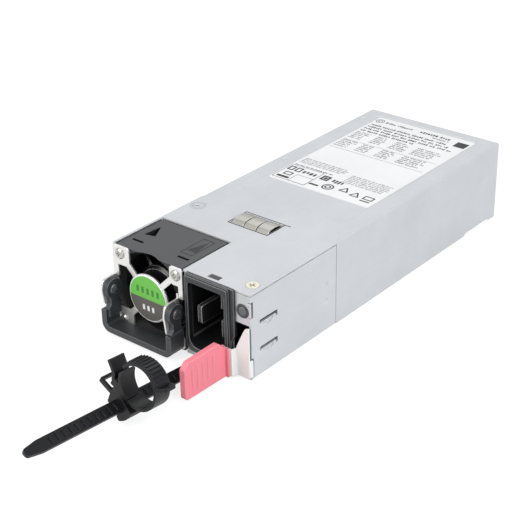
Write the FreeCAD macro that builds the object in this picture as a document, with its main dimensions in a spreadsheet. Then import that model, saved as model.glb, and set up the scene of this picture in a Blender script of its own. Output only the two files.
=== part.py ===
"""Hot swap server power supply, built piece by piece as a parametric document.

Frame: +Z up, +X to the right seen from the front, the front faces -Y.
The origin is the centre of the case's bottom face.  Lengths are millimetres.
"""
import FreeCAD, Part
import Sketcher
import math
import os

SIZES = {
    # case
    "case_width": 73.5,
    "case_length": 185.0,
    "case_height": 38.5,
    "sheet": 1.0,
    "sheet_gap": 0.2,
    "seam_place": 55.3,
    "skirt_notch_length": 23.0,
    "skirt_notch_depth": 1.4,
    "inner_flange": 12.0,
    "slit_length": 11.0,
    "slit_width": 1.4,
    "slit_upper": 24.9,
    "slit_lower": 12.7,
    "vent_width": 2.6,
    "vent_pitch": 4.4,
    "vent_height": 19.0,
    # fan module
    "fan_width": 38.0,
    "fan_depth": 28.0,
    "fan_place": -16.6,
    "fan_front": 0.1,
    "fan_window_depth": 29.5,
    "hub_wall": 1.3,
    "shaft_radius": 1.5,
    "shaft_clearance": 0.06,
    "guard_sheet": 0.8,
    "badge_thickness": 0.5,
    "screw_radius": 1.2,
    "screw_head": 2.4,
    # pull handle
    "pivot_forward": 4.6,
    "pivot_height": 19.8,
    "eye_radius": 4.3,
    "arm_thickness": 2.4,
    "handle_front": 9.8,
    "handle_back": 2.0,
    "handle_bottom": 1.2,
    "handle_overhang": 0.6,
    "handle_wall": 2.7,
    "upright_height": 11.5,
    "rivet_radius": 1.5,
    "pin_clearance": 0.05,
    # mains inlet
    "inlet_left": 4.6,
    "inlet_right": 27.6,
    "inlet_bottom": 3.2,
    "inlet_stand": 2.4,
    "inlet_rim": 0.8,
    "inlet_depth": 26.0,
    "cavity_margin": 1.5,
    "cavity_depth": 21.0,
    "pin_width": 2.0,
    "pin_height": 8.0,
    "pin_spacing": 13.0,
    "ground_offset": 8.0,
    "led_place": 33.0,
    "led_below_cover": 7.3,
    "led_radius": 2.0,
    "led_bezel": 3.1,
    # release latch
    "latch_sheet": 0.8,
    "latch_pivot": 49.0,
    "latch_height": 23.6,
    "grip_front": 28.0,
    "grip_height": 17.0,
    "grip_thickness": 2.5,
    "grip_place": 24.7,
    # strap and cable clamp
    "strap_place": 16.0,
    "strap_height": 2.35,
    "strap_width": 5.4,
    "strap_thickness": 1.4,
    "strap_length": 99.0,
    "strap_rise": 5.5,
    "strap_roll": 28.0,
    "clamp_place": 48.3,
    "clamp_width": 9.5,
    "ring_radius": 8.4,
    "ring_wall": 1.2,
    "ring_width": 7.6,
    "ring_side": 3.0,
    "ring_height": 14.8,
    # inside
    "board_height": 5.0,
    "board_thickness": 1.6,
    "edge_width": 41.0,
    "edge_reach": 8.9,
    "capacitor_radius": 12.5,
}

document = FreeCAD.newDocument("power_supply")
sheet = document.addObject("Spreadsheet::Sheet", "Sizes")
for row, (alias, number) in enumerate(SIZES.items(), start=1):
    sheet.set(f"A{row}", alias)
    sheet.set(f"B{row}", str(number))
    sheet.setAlias(f"B{row}", alias)
document.recompute()


class Size:
    """A length that knows its value and the expression that drives it."""

    def __init__(self, value, text=None):
        self.value = float(value)
        self.text = text or f"({float(value)!r})"

    def joined(self, other, sign, value):
        return Size(value, f"({self.text} {sign} {other.text})")

    def __add__(self, other):
        other = as_size(other)
        return self.joined(other, "+", self.value + other.value)

    def __sub__(self, other):
        other = as_size(other)
        return self.joined(other, "-", self.value - other.value)

    def __mul__(self, other):
        other = as_size(other)
        return self.joined(other, "*", self.value * other.value)

    def __truediv__(self, other):
        other = as_size(other)
        return self.joined(other, "/", self.value / other.value)

    def __radd__(self, other):
        return as_size(other) + self

    def __rsub__(self, other):
        return as_size(other) - self

    __rmul__ = __mul__

    def __neg__(self):
        return self * -1


def as_size(item):
    return item if isinstance(item, Size) else Size(item)


class Sizes:
    """The driving dimensions, read back from the sheet's cells."""

    def __getattr__(self, alias):
        return Size(getattr(sheet, alias), f"Sizes.{alias}")


size = Sizes()
pieces = {}
X_AXIS = FreeCAD.Vector(1, 0, 0)
Y_AXIS = FreeCAD.Vector(0, 1, 0)
Z_AXIS = FreeCAD.Vector(0, 0, 1)

# Sketch planes: role, side on which their normal points along the axis.
PLANES = {"XY": ("XY_Plane", 1), "XZ": ("XZ_Plane", -1), "YZ": ("YZ_Plane", 1)}


def bind(item, path, length):
    item.setExpression(path, as_size(length).text)


def rounded(corners):
    """Turns corners (x, y) or (x, y, radius) into the vertices and bends of a closed path."""
    vertices, bends = [], []
    for index, corner in enumerate(corners):
        x, y = as_size(corner[0]), as_size(corner[1])
        if len(corner) == 2:
            vertices.append((x, y))
            bends.append(None)
            continue
        radius = as_size(corner[2])
        before, after = corners[index - 1], corners[(index + 1) % len(corners)]
        sides = []
        for other in (before, after):
            side_x, side_y = as_size(other[0]).value - x.value, as_size(other[1]).value - y.value
            length = math.hypot(side_x, side_y)
            sides.append((side_x / length, side_y / length))
        (back_x, back_y), (on_x, on_y) = sides
        half = math.acos(max(-1.0, min(1.0, back_x * on_x + back_y * on_y))) / 2
        reach = radius * (1 / math.tan(half))
        middle_x, middle_y = back_x + on_x, back_y + on_y
        stretch = radius.value / math.sin(half) / math.hypot(middle_x, middle_y)
        centre = (x.value + middle_x * stretch, y.value + middle_y * stretch)
        vertices.append((x + reach * back_x, y + reach * back_y))
        bends.append((radius, centre, back_x * on_y - back_y * on_x < 0))
        vertices.append((x + reach * on_x, y + reach * on_y))
        bends.append(None)
    return vertices, bends


def draw_path(sketch, vertices, bends):
    """Draws a closed path of lines and arcs, each vertex placed from the sketch's origin."""
    first = sketch.GeometryCount
    count = len(vertices)
    ends = []
    for index, bend in enumerate(bends):
        start = FreeCAD.Vector(vertices[index][0].value, vertices[index][1].value, 0)
        stop = vertices[(index + 1) % count]
        stop = FreeCAD.Vector(stop[0].value, stop[1].value, 0)
        if bend is None:
            sketch.addGeometry(Part.LineSegment(start, stop), False)
            ends.append((1, 2))
            continue
        radius, centre, counterclockwise = bend
        middle = FreeCAD.Vector(centre[0], centre[1], 0)
        angles = [math.atan2(point.y - middle.y, point.x - middle.x) for point in (start, stop)]
        if not counterclockwise:
            angles.reverse()
        circle = Part.Circle(middle, Z_AXIS, radius.value)
        sketch.addGeometry(Part.ArcOfCircle(circle, *angles), False)
        ends.append((1, 2) if counterclockwise else (2, 1))
    for index, bend in enumerate(bends):
        item, after = first + index, first + (index + 1) % count
        sketch.addConstraint(
            Sketcher.Constraint("Coincident", item, ends[index][1], after, ends[(index + 1) % count][0]))
        for kind, length in zip(("DistanceX", "DistanceY"), vertices[index]):
            fix(sketch, Sketcher.Constraint(kind, -1, 1, item, ends[index][0], length.value), length)
        if bend is not None:
            fix(sketch, Sketcher.Constraint("Radius", item, bend[0].value), bend[0])


def fix(sketch, constraint, length):
    number = sketch.addConstraint(constraint)
    bind(sketch, f"Constraints[{number}]", length)


def draw_circle(sketch, x, y, radius):
    x, y, radius = as_size(x), as_size(y), as_size(radius)
    centre = FreeCAD.Vector(x.value, y.value, 0)
    item = sketch.addGeometry(Part.Circle(centre, Z_AXIS, radius.value), False)
    fix(sketch, Sketcher.Constraint("DistanceX", -1, 1, item, 3, x.value), x)
    fix(sketch, Sketcher.Constraint("DistanceY", -1, 1, item, 3, y.value), y)
    fix(sketch, Sketcher.Constraint("Radius", item, radius.value), radius)


def sector(inner, outer, start, stop):
    """A ring sector about the sketch's origin, between two angles in degrees."""
    ways = [(math.cos(math.radians(a)), math.sin(math.radians(a))) for a in (start, stop)]
    (cos_start, sin_start), (cos_stop, sin_stop) = ways
    vertices = [(outer * cos_start, outer * sin_start), (outer * cos_stop, outer * sin_stop),
                (inner * cos_stop, inner * sin_stop), (inner * cos_start, inner * sin_start)]
    return vertices, [(outer, (0, 0), True), None, (inner, (0, 0), False), None]


def rectangle(left, low, right, high, radius=None):
    corners = [(left, low), (right, low), (right, high), (left, high)]
    return [corner + (radius,) for corner in corners] if radius is not None else corners


class Piece:
    """One part of the assembly: a body made of sketched features."""

    def __init__(self, name):
        self.name = name
        self.body = document.addObject("PartDesign::Body", name)
        self.body.Label = name
        self.body.AllowCompound = True
        pieces[name] = self.body

    def plane(self, name):
        role = PLANES[name][0] if name in PLANES else name
        return next(item for item in self.body.Origin.OriginFeatures if item.Role == role)

    def sketch(self, plane, at, outlines=(), circles=(), paths=()):
        sketch = self.body.newObject("Sketcher::SketchObject", f"{self.name}_sketch")
        sketch.AttachmentSupport = (self.plane(plane), [""])
        sketch.MapMode = "FlatFace"
        bind(sketch, "AttachmentOffset.Base.z", as_size(at) * PLANES[plane][1])
        for corners in outlines:
            draw_path(sketch, *rounded(corners))
        for path in paths:
            draw_path(sketch, *path)
        for circle in circles:
            draw_circle(sketch, *circle)
        return sketch

    def feature(self, kind, sketch):
        item = self.body.newObject(f"PartDesign::{kind}", f"{self.name}_{kind.lower()}")
        item.Profile = sketch
        return item

    def pad(self, plane, start, stop, *outlines, circles=(), paths=()):
        item = self.feature("Pad", self.sketch(plane, start, outlines, circles, paths))
        item.Reversed = plane == "XZ"
        bind(item, "Length", stop - start)
        return item

    def pocket(self, plane, start, stop, *outlines, circles=(), paths=()):
        document.recompute()
        volume = self.body.Shape.Volume
        item = self.feature("Pocket", self.sketch(plane, start, outlines, circles, paths))
        item.Reversed = plane != "XZ"
        bind(item, "Length", stop - start)
        document.recompute()
        if not self.body.Shape.Volume < volume - 1e-6:
            raise ValueError(f"{item.Label} cuts nothing")
        return item

    def revolve(self, plane, at, line, *outlines, groove=False):
        """Turns outlines about a sketch line given as (x, y, "x") or (x, y, "y")."""
        sketch = self.sketch(plane, at, outlines)
        x, y, way = as_size(line[0]), as_size(line[1]), line[2]
        reach = (1.0, 0.0) if way == "x" else (0.0, 1.0)
        ends = [(x, y), (x + reach[0], y + reach[1])]
        start, stop = (FreeCAD.Vector(a.value, b.value, 0) for a, b in ends)
        item = sketch.addGeometry(Part.LineSegment(start, stop), True)
        for number, end in enumerate(ends, start=1):
            for kind, length in zip(("DistanceX", "DistanceY"), end):
                fix(sketch, Sketcher.Constraint(kind, -1, 1, item, number, length.value), length)
        turned = self.feature("Groove" if groove else "Revolution", sketch)
        turned.ReferenceAxis = (sketch, ["Axis0"])
        turned.Angle = 360
        return turned

    def loft(self, profile, sections):
        item = self.feature("AdditiveLoft", profile)
        item.Sections = sections
        item.Ruled = True
        return item

    def polar(self, features, axis, count, angle=360.0):
        document.recompute()
        item = self.body.newObject("PartDesign::PolarPattern", f"{self.name}_pattern")
        item.Originals = features
        item.Axis = (self.plane(axis), [""])
        item.Angle = angle
        item.Occurrences = count
        self.body.Tip = item
        return item

    def row(self, features, axis, length, count):
        """Repeats features along one of the body's axes."""
        document.recompute()
        item = self.body.newObject("PartDesign::LinearPattern", f"{self.name}_row")
        item.Originals = features
        item.Direction = (self.plane(axis), [""])
        bind(item, "Length", length)
        item.Occurrences = count
        self.body.Tip = item
        return item

    def place(self, x=0, y=0, z=0):
        for path, length in zip("xyz", (x, y, z)):
            bind(self.body, f"Placement.Base.{path}", length)


# ---------------------------------------------------------------- case
front = -size.case_length / 2
rear = size.case_length / 2
side = size.case_width / 2
wall_inside = side - size.sheet
cover_underside = size.case_height - size.sheet
wall_top = cover_underside - 0.35
seam = front + size.seam_place
fan_half = size.fan_width / 2
fan_middle = size.fan_place
fan_centre_height = size.case_height / 2
fan_left = fan_middle - fan_half
fan_right = fan_middle + fan_half
fan_bore = size.fan_width * 0.463
fan_flare = size.fan_width * 0.518
hole_half = size.fan_width * 0.408
hub_radius = size.fan_width * 0.303
blade_radius = size.fan_width * 0.424
badge_radius = size.fan_width * 0.274
led_height = cover_underside - size.led_below_cover
window_gap = 0.2
front_wall_left = fan_right + 0.8
inlet_middle = (size.inlet_left + size.inlet_right) / 2
inlet_body_left = size.inlet_left + size.inlet_rim + 0.9
inlet_body_right = size.inlet_right - size.inlet_rim - 0.9
inlet_body_top = cover_underside - 0.6
inlet_body_bottom = size.inlet_bottom + 1.8
panel_fit = 0.1

chassis = Piece("chassis")
chassis.pad("XZ", front, seam, [
    (-side, 0, 0.6), (side, 0, 0.6), (side, wall_top), (wall_inside, wall_top),
    (wall_inside, size.sheet), (-wall_inside, size.sheet), (-wall_inside, wall_top), (-side, wall_top)])
flange_outside = wall_inside - size.sheet_gap
flange_inside = flange_outside - size.sheet
chassis.pad("XZ", seam, rear - size.sheet - size.sheet_gap, [
    (-flange_outside, 0), (flange_outside, 0), (flange_outside, size.inner_flange),
    (flange_inside, size.inner_flange), (flange_inside, size.sheet), (-flange_inside, size.sheet),
    (-flange_inside, size.inner_flange), (-flange_outside, size.inner_flange)])
# front wall beside the fan, folded up round the mains inlet
chassis.pad("XZ", front, front + size.sheet,
            rectangle(front_wall_left, 0, side, wall_top))
# lug under the cover's front screw
lug_middle = side - 4.35
chassis.pad("XY", wall_top - 2.0, wall_top, rectangle(lug_middle - 4, front, side, front + 11))
chassis.pocket("XY", wall_top - 2.0, wall_top, circles=[(lug_middle, front + 6.9, 1.3)])
# opening of the fan bay, through floor and front edge
chassis.pocket("XY", 0, size.sheet, rectangle(
    fan_left - window_gap, front, fan_right + window_gap, front + size.fan_window_depth))
# inlet cut-out and the window for the release latch
latch_window_top = size.latch_height + 0.8
chassis.pocket("XZ", front, front + size.sheet,
               rectangle(inlet_body_left - panel_fit, inlet_body_bottom - panel_fit,
                         inlet_body_right + panel_fit, inlet_body_top + panel_fit),
               [(inlet_body_right + 1.6, size.sheet), (wall_inside, size.sheet),
                (wall_inside, latch_window_top), (inlet_body_right + 1.6, latch_window_top)])
# slot for the strap's root, under the inlet
strap_slot = size.strap_width / 2 + 0.2
chassis.pocket("XZ", front, front + size.sheet, rectangle(
    size.strap_place - strap_slot, size.strap_height - size.strap_thickness / 2 - 0.2,
    size.strap_place + strap_slot, size.strap_height + size.strap_thickness / 2 + 0.2))
led_tube = size.led_radius + 0.5
chassis.pocket("XZ", front, front + size.sheet, circles=[(size.led_place, led_height, led_tube + 0.1)])
# the latch's nose comes out through a notch in the right wall
nose_top = 8.8
nose_rear = front + 1.35
chassis.pocket("YZ", wall_inside, side, rectangle(front, size.sheet, nose_rear + 0.15, nose_top + 0.8))
# the wall's front edge stands back beside the latch's plate
chassis.pocket("YZ", wall_inside, side,
               rectangle(front, nose_top + 0.8, front + 0.4, latch_window_top))
# bracket-shaped slit at the front corner, with a short return at each end
slit_low, slit_high = led_height - 2.7, led_height + 4.5
chassis.pocket("YZ", side - 2.2, side, rectangle(front + 0.7, slit_low, front + 1.8, slit_high))
for height in (slit_low, slit_high - 0.5):
    chassis.pocket("YZ", side - 1.1, side, rectangle(front, height, front + 1.0, height + 0.5))
# lanced slits with turned-down ends and a pressed ramp below each
slit_start = front + 5.6
slit_end = slit_start + size.slit_length
for height in (size.slit_upper, size.slit_lower):
    slit_foot = height - size.slit_width
    chassis.pocket("YZ", wall_inside, side, [
        (slit_start, slit_foot - 0.7), (slit_start + 0.9, slit_foot), (slit_end - 0.9, slit_foot),
        (slit_end - 0.9, slit_foot - 1.2), (slit_end, slit_foot - 1.2), (slit_end, height),
        (slit_start, height)])
    chassis.pocket("YZ", side - 0.6, side, [
        (slit_start + 1.6, slit_foot - 0.4), (slit_start + 6.2, slit_foot - 2.8, 0.5),
        (slit_end - 2.0, slit_foot - 0.4)])
# spot weld marks that hold the latch spring
for height in (21.8, 14.0):
    chassis.pocket("YZ", side - 0.15, side, circles=[(front + 48.1, height, 1.3)])

top_cover = Piece("top_cover")
top_cover.pad("XY", cover_underside, size.case_height, rectangle(-side, front, side, seam + 0.3))
fold = 0.9
top_cover.pad("XZ", seam + 0.3, rear, [
    (-side, 0), (-wall_inside, 0), (-wall_inside, cover_underside), (wall_inside, cover_underside),
    (wall_inside, 0), (side, 0), (side, size.case_height, fold), (-side, size.case_height, fold)])
top_cover.pocket("XY", cover_underside, size.case_height, rectangle(
    fan_left - window_gap, front, fan_right + window_gap, front + size.fan_window_depth))
snap_left, snap_right = inlet_middle - 2.4, inlet_middle + 3.6
snap_front, snap_rear = front + 1.3, front + 4.5
top_cover.pocket("XY", cover_underside, size.case_height,
                 rectangle(snap_left, snap_front, snap_right, snap_rear))
spring_left, spring_right = -10.3, 9.9
spring_front, spring_rear = front + 43.4, front + 54.4
top_cover.pocket("XY", cover_underside, size.case_height,
                 rectangle(spring_left, spring_front, spring_right, spring_rear, 0.2))
# countersink of the front screw
countersink = size.screw_head + 0.6
top_cover.revolve("XZ", front + 6.9, (lug_middle, 0, "y"), [
    (lug_middle, cover_underside), (lug_middle + 1.7, cover_underside),
    (lug_middle + countersink, size.case_height), (lug_middle, size.case_height)], groove=True)
# shallow foot cut-outs in both skirts and round marks along the left edge
notch_start = rear - 28.0
for inner, outer in ((-side, -wall_inside), (wall_inside, side)):
    top_cover.pocket("YZ", inner, outer, [
        (notch_start, 0), (notch_start + size.skirt_notch_length, 0),
        (notch_start + size.skirt_notch_length - 2, size.skirt_notch_depth, 1.0),
        (notch_start + 2, size.skirt_notch_depth, 1.0)])
top_cover.pocket("XY", size.case_height - 0.3, size.case_height,
                 circles=[(-side + 3.9, front + place, 1.5) for place in (46.4, 108.9, 172.5)])

# rear wall, pierced with vent slots, with an opening for the board's edge connector
rear_panel = Piece("rear_panel")
panel_side = wall_inside - size.sheet_gap
rear_panel.pad("XZ", rear - size.sheet, rear,
               rectangle(-panel_side, 0.2, panel_side, cover_underside - size.sheet_gap, 0.8))
board_top = size.board_height + size.board_thickness
edge_half = size.edge_width / 2
rear_panel.pocket("XZ", rear - size.sheet, rear, rectangle(
    -edge_half - 1.2, size.board_height - 1.2, edge_half + 1.2, board_top + 1.2, 0.8))
vent_foot = board_top + 5.0
vents = rear_panel.pocket("XZ", rear - size.sheet, rear, rectangle(
    -panel_side + 3.2, vent_foot, -panel_side + 3.2 + size.vent_width,
    vent_foot + size.vent_height, 1.2))
vent_count = int((2 * panel_side.value - 6.4 - size.vent_width.value) / size.vent_pitch.value) + 1
rear_panel.row([vents], "X_Axis", size.vent_pitch * (vent_count - 1), vent_count)

# countersunk screw that closes the cover
cover_screw = Piece("cover_screw")
screw_foot = wall_top - 4.0
cover_screw.revolve("XZ", 0, (0, 0, "y"), [
    (0, screw_foot), (1.2, screw_foot), (1.2, cover_underside + 0.1), (1.6, cover_underside + 0.1),
    (countersink - 0.2, size.case_height - 0.1), (countersink - 0.2, size.case_height),
    (0, size.case_height)])
cover_screw.pocket("XY", size.case_height - 0.8, size.case_height,
                   rectangle(-0.35, -1.5, 0.35, 1.5), )
cover_screw.pocket("XY", size.case_height - 0.8, size.case_height,
                   rectangle(-1.5, -0.35, 1.5, 0.35))
cover_screw.place(lug_middle, front + 6.9, 0)

# very shallow recess round the label, and the label in it
label_recess, label_thickness = 0.15, 0.12
label_front, label_rear = rear - 95.5, rear - 6.5
top_cover.pocket("XY", size.case_height - label_recess, size.case_height,
                 rectangle(-28, label_front - 17.5, 28.8, label_rear + 1.5, 2.0))
rating_label = Piece("rating_label")
rating_label.pad("XY", size.case_height - label_recess, size.case_height - label_recess + label_thickness,
                 rectangle(-27, label_front, 28, label_rear, 1.5))

# ---------------------------------------------------------------- fan
fan_start = front + size.fan_front
fan_end = fan_start + size.fan_depth

fan_frame = Piece("fan_frame")
fan_frame.pad("XZ", fan_start, fan_end,
              rectangle(fan_left, fan_centre_height - fan_half, fan_right,
                        fan_centre_height + fan_half, 1.6),
              circles=[(fan_middle, fan_centre_height, fan_bore)])
# flared inlet lip, which breaks out through the flat sides
fan_frame.revolve("XY", fan_centre_height, (fan_middle, 0, "y"), [
    (fan_middle, fan_start), (fan_middle + fan_flare, fan_start),
    (fan_middle + fan_bore - 0.1, fan_start + 4.2), (fan_middle, fan_start + 4.2)], groove=True)
fan_frame.pocket("XZ", fan_start, fan_start + 12, circles=[
    (fan_middle + right * hole_half, fan_centre_height + up * hole_half, size.screw_radius + 0.1)
    for right in (-1, 1) for up in (-1, 1)])
# waist between the two flanges, on the sides that the case hides
for low, high in ((fan_centre_height - fan_half, fan_centre_height - fan_half + 0.8),):
    fan_frame.pocket("XY", low, high, rectangle(fan_left + 7, fan_start + 5, fan_right - 7, fan_end - 5))
# recessed pockets in the flush top
fan_top = fan_centre_height + fan_half
recess = 3.0
fan_frame.pocket("XY", fan_top - recess, fan_top, [
    (fan_left + 4.0, front + 13.0, 0.4), (fan_left + 9.4, front + 14.5, 0.4),
    (fan_left + 5.0, front + 23.0, 0.4)])
for slot in (fan_left + 3.2, fan_right - 9.6):
    fan_frame.pocket("XY", fan_top - recess, fan_top,
                     rectangle(slot, front + 6.6, slot + 6.2, front + 8.2, 0.3))
# outline groove of a panel, with a sunk triangular facet inside it
panel_left, panel_right = fan_right - 11.2, fan_right - 4.8
fan_frame.pocket("XY", fan_top - 0.5, fan_top,
                 rectangle(panel_left, front + 10.5, panel_right, front + 25.2, 0.8),
                 rectangle(panel_left + 0.5, front + 11.0, panel_right - 0.5, front + 24.7, 0.5))
fan_frame.pocket("XY", fan_top - 1.2, fan_top, [
    (panel_left + 1.2, front + 13.9), (panel_right - 1.0, front + 14.1), (panel_left + 4.2, front + 22.4)])
# motor base carried on four struts at the outlet
strut_front = fan_end - 3.0
base_front = fan_end - 2.5
fan_frame.pad("XZ", base_front, fan_end, circles=[(fan_middle, fan_centre_height, 10.5)])
strut = 1.1
for right, up in ((1, 1), (1, -1), (-1, 1), (-1, -1)):
    fan_frame.pad("XZ", strut_front, fan_end, [
        (fan_middle + right * 6 + strut, fan_centre_height + up * 6 - right * up * strut),
        (fan_middle + right * 12.9 + strut, fan_centre_height + up * 12.9 - right * up * strut),
        (fan_middle + right * 12.9 - strut, fan_centre_height + up * 12.9 + right * up * strut),
        (fan_middle + right * 6 - strut, fan_centre_height + up * 6 + right * up * strut)])

# rotor: a cup turned about the fan's axis, with lofted blades
hub_front = size.fan_front + 5.0
hub_rear = size.fan_front + size.fan_depth - 3.4
hub_inside = hub_radius - size.hub_wall
fan_rotor = Piece("fan_rotor")
fan_rotor.revolve("XY", 0, (0, 0, "y"), [
    (0, hub_front), (hub_radius - 1.2, hub_front), (hub_radius, hub_front + 1.2), (hub_radius, hub_rear),
    (hub_inside, hub_rear), (hub_inside, hub_front + 1.6), (0, hub_front + 1.6)])
blade_middle = (hub_front + hub_rear) / 2


def blade_section(reach, chord, thickness, pitch):
    """A blade's cut at one radius: a thin slab turned from the axis by its pitch."""
    along = (math.cos(math.radians(pitch)), math.sin(math.radians(pitch)))
    corners = [(-1, -1), (1, -1), (1, 1), (-1, 1)]
    return fan_rotor.sketch("YZ", reach, [[
        (blade_middle + chord * (end * along[0] / 2) - thickness / 2 * face * along[1],
         chord * (end * along[1] / 2) + thickness / 2 * face * along[0])
        for end, face in corners]])


blade_chord = size.fan_depth / 2
blade = fan_rotor.loft(blade_section(hub_radius - 1.1, blade_chord, 1.3, 36),
                       [blade_section(blade_radius, blade_chord, 0.8, 52)])
fan_rotor.polar([blade], "Y_Axis", 7)
fan_rotor.place(fan_middle, front, fan_centre_height)

fan_magnet = Piece("fan_magnet")
fan_magnet.pad("XZ", hub_front + 1.9, hub_rear - 1.5,
               circles=[(0, 0, hub_inside), (0, 0, hub_inside - 0.9)])
fan_magnet.place(fan_middle, front, fan_centre_height)

fan_shaft = Piece("fan_shaft")
shaft_end = size.fan_front + size.fan_depth - 2.9
fan_shaft.revolve("XY", 0, (0, 0, "y"), [
    (0, hub_front + 1.6), (size.shaft_radius, hub_front + 1.6), (size.shaft_radius, shaft_end - 0.4),
    (size.shaft_radius - 0.4, shaft_end), (0, shaft_end)])
fan_shaft.place(fan_middle, front, fan_centre_height)

# coil core with four poles round the bearing tube
fan_stator = Piece("fan_stator")
bearing = size.shaft_radius + size.shaft_clearance
tube_rear = size.fan_front + size.fan_depth - 2.5
fan_stator.pad("XZ", hub_front + 2.6, tube_rear, circles=[(0, 0, 3.2), (0, 0, bearing)])
fan_stator.pad("XZ", hub_front + 4.0, hub_rear - 3.0, circles=[(0, 0, 5.0), (0, 0, 3.2)])
pole_end = hub_inside - 2.0
pole = fan_stator.pad("XZ", hub_front + 4.0, hub_rear - 3.0, [
    (3.2, -1.3), (pole_end - 1.4, -1.3), (pole_end - 1.0, -3.6), (pole_end, -2.6),
    (pole_end, 2.6), (pole_end - 1.0, 3.6), (pole_end - 1.4, 1.3), (3.2, 1.3)])
fan_stator.polar([pole], "Y_Axis", 4)
fan_stator.place(fan_middle, front, fan_centre_height)

# ---------------------------------------------------------------- fan guard and badge
guard_front = front - size.guard_sheet
pivot_y = front - size.pivot_forward
ear_gap = 0.1
ear_left = fan_left - size.handle_overhang
ear_right = fan_right - 3.6
badge_middle = fan_middle - 0.3
badge_height = fan_centre_height - 0.4
eye_top = size.pivot_height + size.eye_radius
fan_guard = Piece("fan_guard")
fan_guard.pad("XZ", guard_front, front, circles=[(badge_middle, badge_height, badge_radius + 0.4)])
# a lobe round each fan screw, and a bent arm from it to the badge's plate
lobes = [(-1, 1, 4.1, 3.45, 5.1, 5.2), (1, 1, 3.4, 3.45, 3.4, 4.7),
         (-1, -1, 4.1, 2.35, 5.5, 5.7), (1, -1, 3.2, 2.35, 3.4, 3.4)]
arm = 0.9
for right, up, out_x, out_z, in_x, in_z in lobes:
    corner_x, corner_z = fan_middle + right * hole_half, fan_centre_height + up * hole_half
    slant = right * up
    fan_guard.pad("XZ", guard_front, front, [
        (corner_x + right * out_x, corner_z + up * out_z, 1.2),
        (corner_x - right * in_x, corner_z + up * out_z, 1.2),
        (corner_x - right * in_x, corner_z - up * in_z, 2.0),
        (corner_x + right * out_x, corner_z - up * in_z, 0.8)])
    fan_guard.pad("XZ", guard_front, front, [
        (fan_middle + right * 5 + arm, fan_centre_height + up * 5 - slant * arm),
        (corner_x - right * 1.5 + arm, corner_z - up * 1.5 - slant * arm),
        (corner_x - right * 1.5 - arm, corner_z - up * 1.5 + slant * arm),
        (fan_middle + right * 5 - arm, fan_centre_height + up * 5 + slant * arm)])
# side strips: wide above the handle's eyes, narrow beside them
strip_head = eye_top + 0.5
lobe_high = fan_centre_height + hole_half - 2.0
lobe_low = fan_centre_height - hole_half - 2.0
fan_guard.pad("XZ", guard_front, front,
              rectangle(ear_left, strip_head - 0.5, ear_left + 2.7, lobe_high),
              [(fan_right - 0.1, lobe_high), (fan_right - 2.4, lobe_high),
               (fan_right - 2.4, strip_head), (fan_right - 0.1, strip_head)])
fan_guard.pad("XZ", guard_front, front,
              rectangle(ear_left, lobe_low, ear_left + size.guard_sheet, strip_head),
              rectangle(ear_right, lobe_low, ear_right + size.guard_sheet, strip_head + 2.0))
# ears bent forward beside the handle's arms
ear_reach = size.eye_radius + 0.4
for left, ear_foot in ((ear_left, size.upright_height + 0.8), (ear_right, size.upright_height - 1.5)):
    fan_guard.pad("YZ", left, left + size.guard_sheet, [
        (front, ear_foot - 0.2), (pivot_y - ear_reach + 1.2, ear_foot, 2.0),
        (pivot_y - ear_reach, size.pivot_height, 4.0),
        (pivot_y - ear_reach + 1.0, eye_top + 0.2, 2.4), (front, strip_head)])
    fan_guard.pocket("YZ", left, left + size.guard_sheet,
                     circles=[(pivot_y, size.pivot_height, size.rivet_radius + size.pin_clearance)])
fan_guard.pocket("XZ", guard_front, front, circles=[
    (fan_middle + right * hole_half, fan_centre_height + up * hole_half, size.screw_radius + 0.2)
    for right in (-1, 1) for up in (-1, 1)])

fan_badge = Piece("fan_badge")
badge_face = guard_front - size.badge_thickness
badge_edge = badge_middle + badge_radius
fan_badge.revolve("XY", badge_height, (badge_middle, 0, "y"), [
    (badge_middle, guard_front), (badge_edge, guard_front), (badge_edge, badge_face + 0.2),
    (badge_edge - 0.2, badge_face), (badge_middle, badge_face)])

# pan head screws: dome, cross recess, shank into the fan's corner holes
fan_screws = Piece("fan_screws")
screw_face = guard_front - 0.9
for right, up in ((1, 1), (1, -1), (-1, 1), (-1, -1)):
    screw_x = fan_middle + right * hole_half
    screw_z = fan_centre_height + up * hole_half
    fan_screws.revolve("XY", screw_z, (screw_x, 0, "y"), [
        (screw_x, guard_front), (screw_x + size.screw_head, guard_front),
        (screw_x + size.screw_head, guard_front - 0.4), (screw_x + size.screw_head - 0.6, screw_face),
        (screw_x, screw_face)])
    fan_screws.pad("XZ", guard_front - 0.3, fan_start + 9, circles=[(screw_x, screw_z, size.screw_radius)])
    fan_screws.pocket("XZ", screw_face, guard_front - 0.3,
                      rectangle(screw_x - 0.35, screw_z - 1.2, screw_x + 0.35, screw_z + 1.2))
    fan_screws.pocket("XZ", screw_face, guard_front - 0.3,
                      rectangle(screw_x - 1.2, screw_z - 0.35, screw_x + 1.2, screw_z + 0.35))

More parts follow.
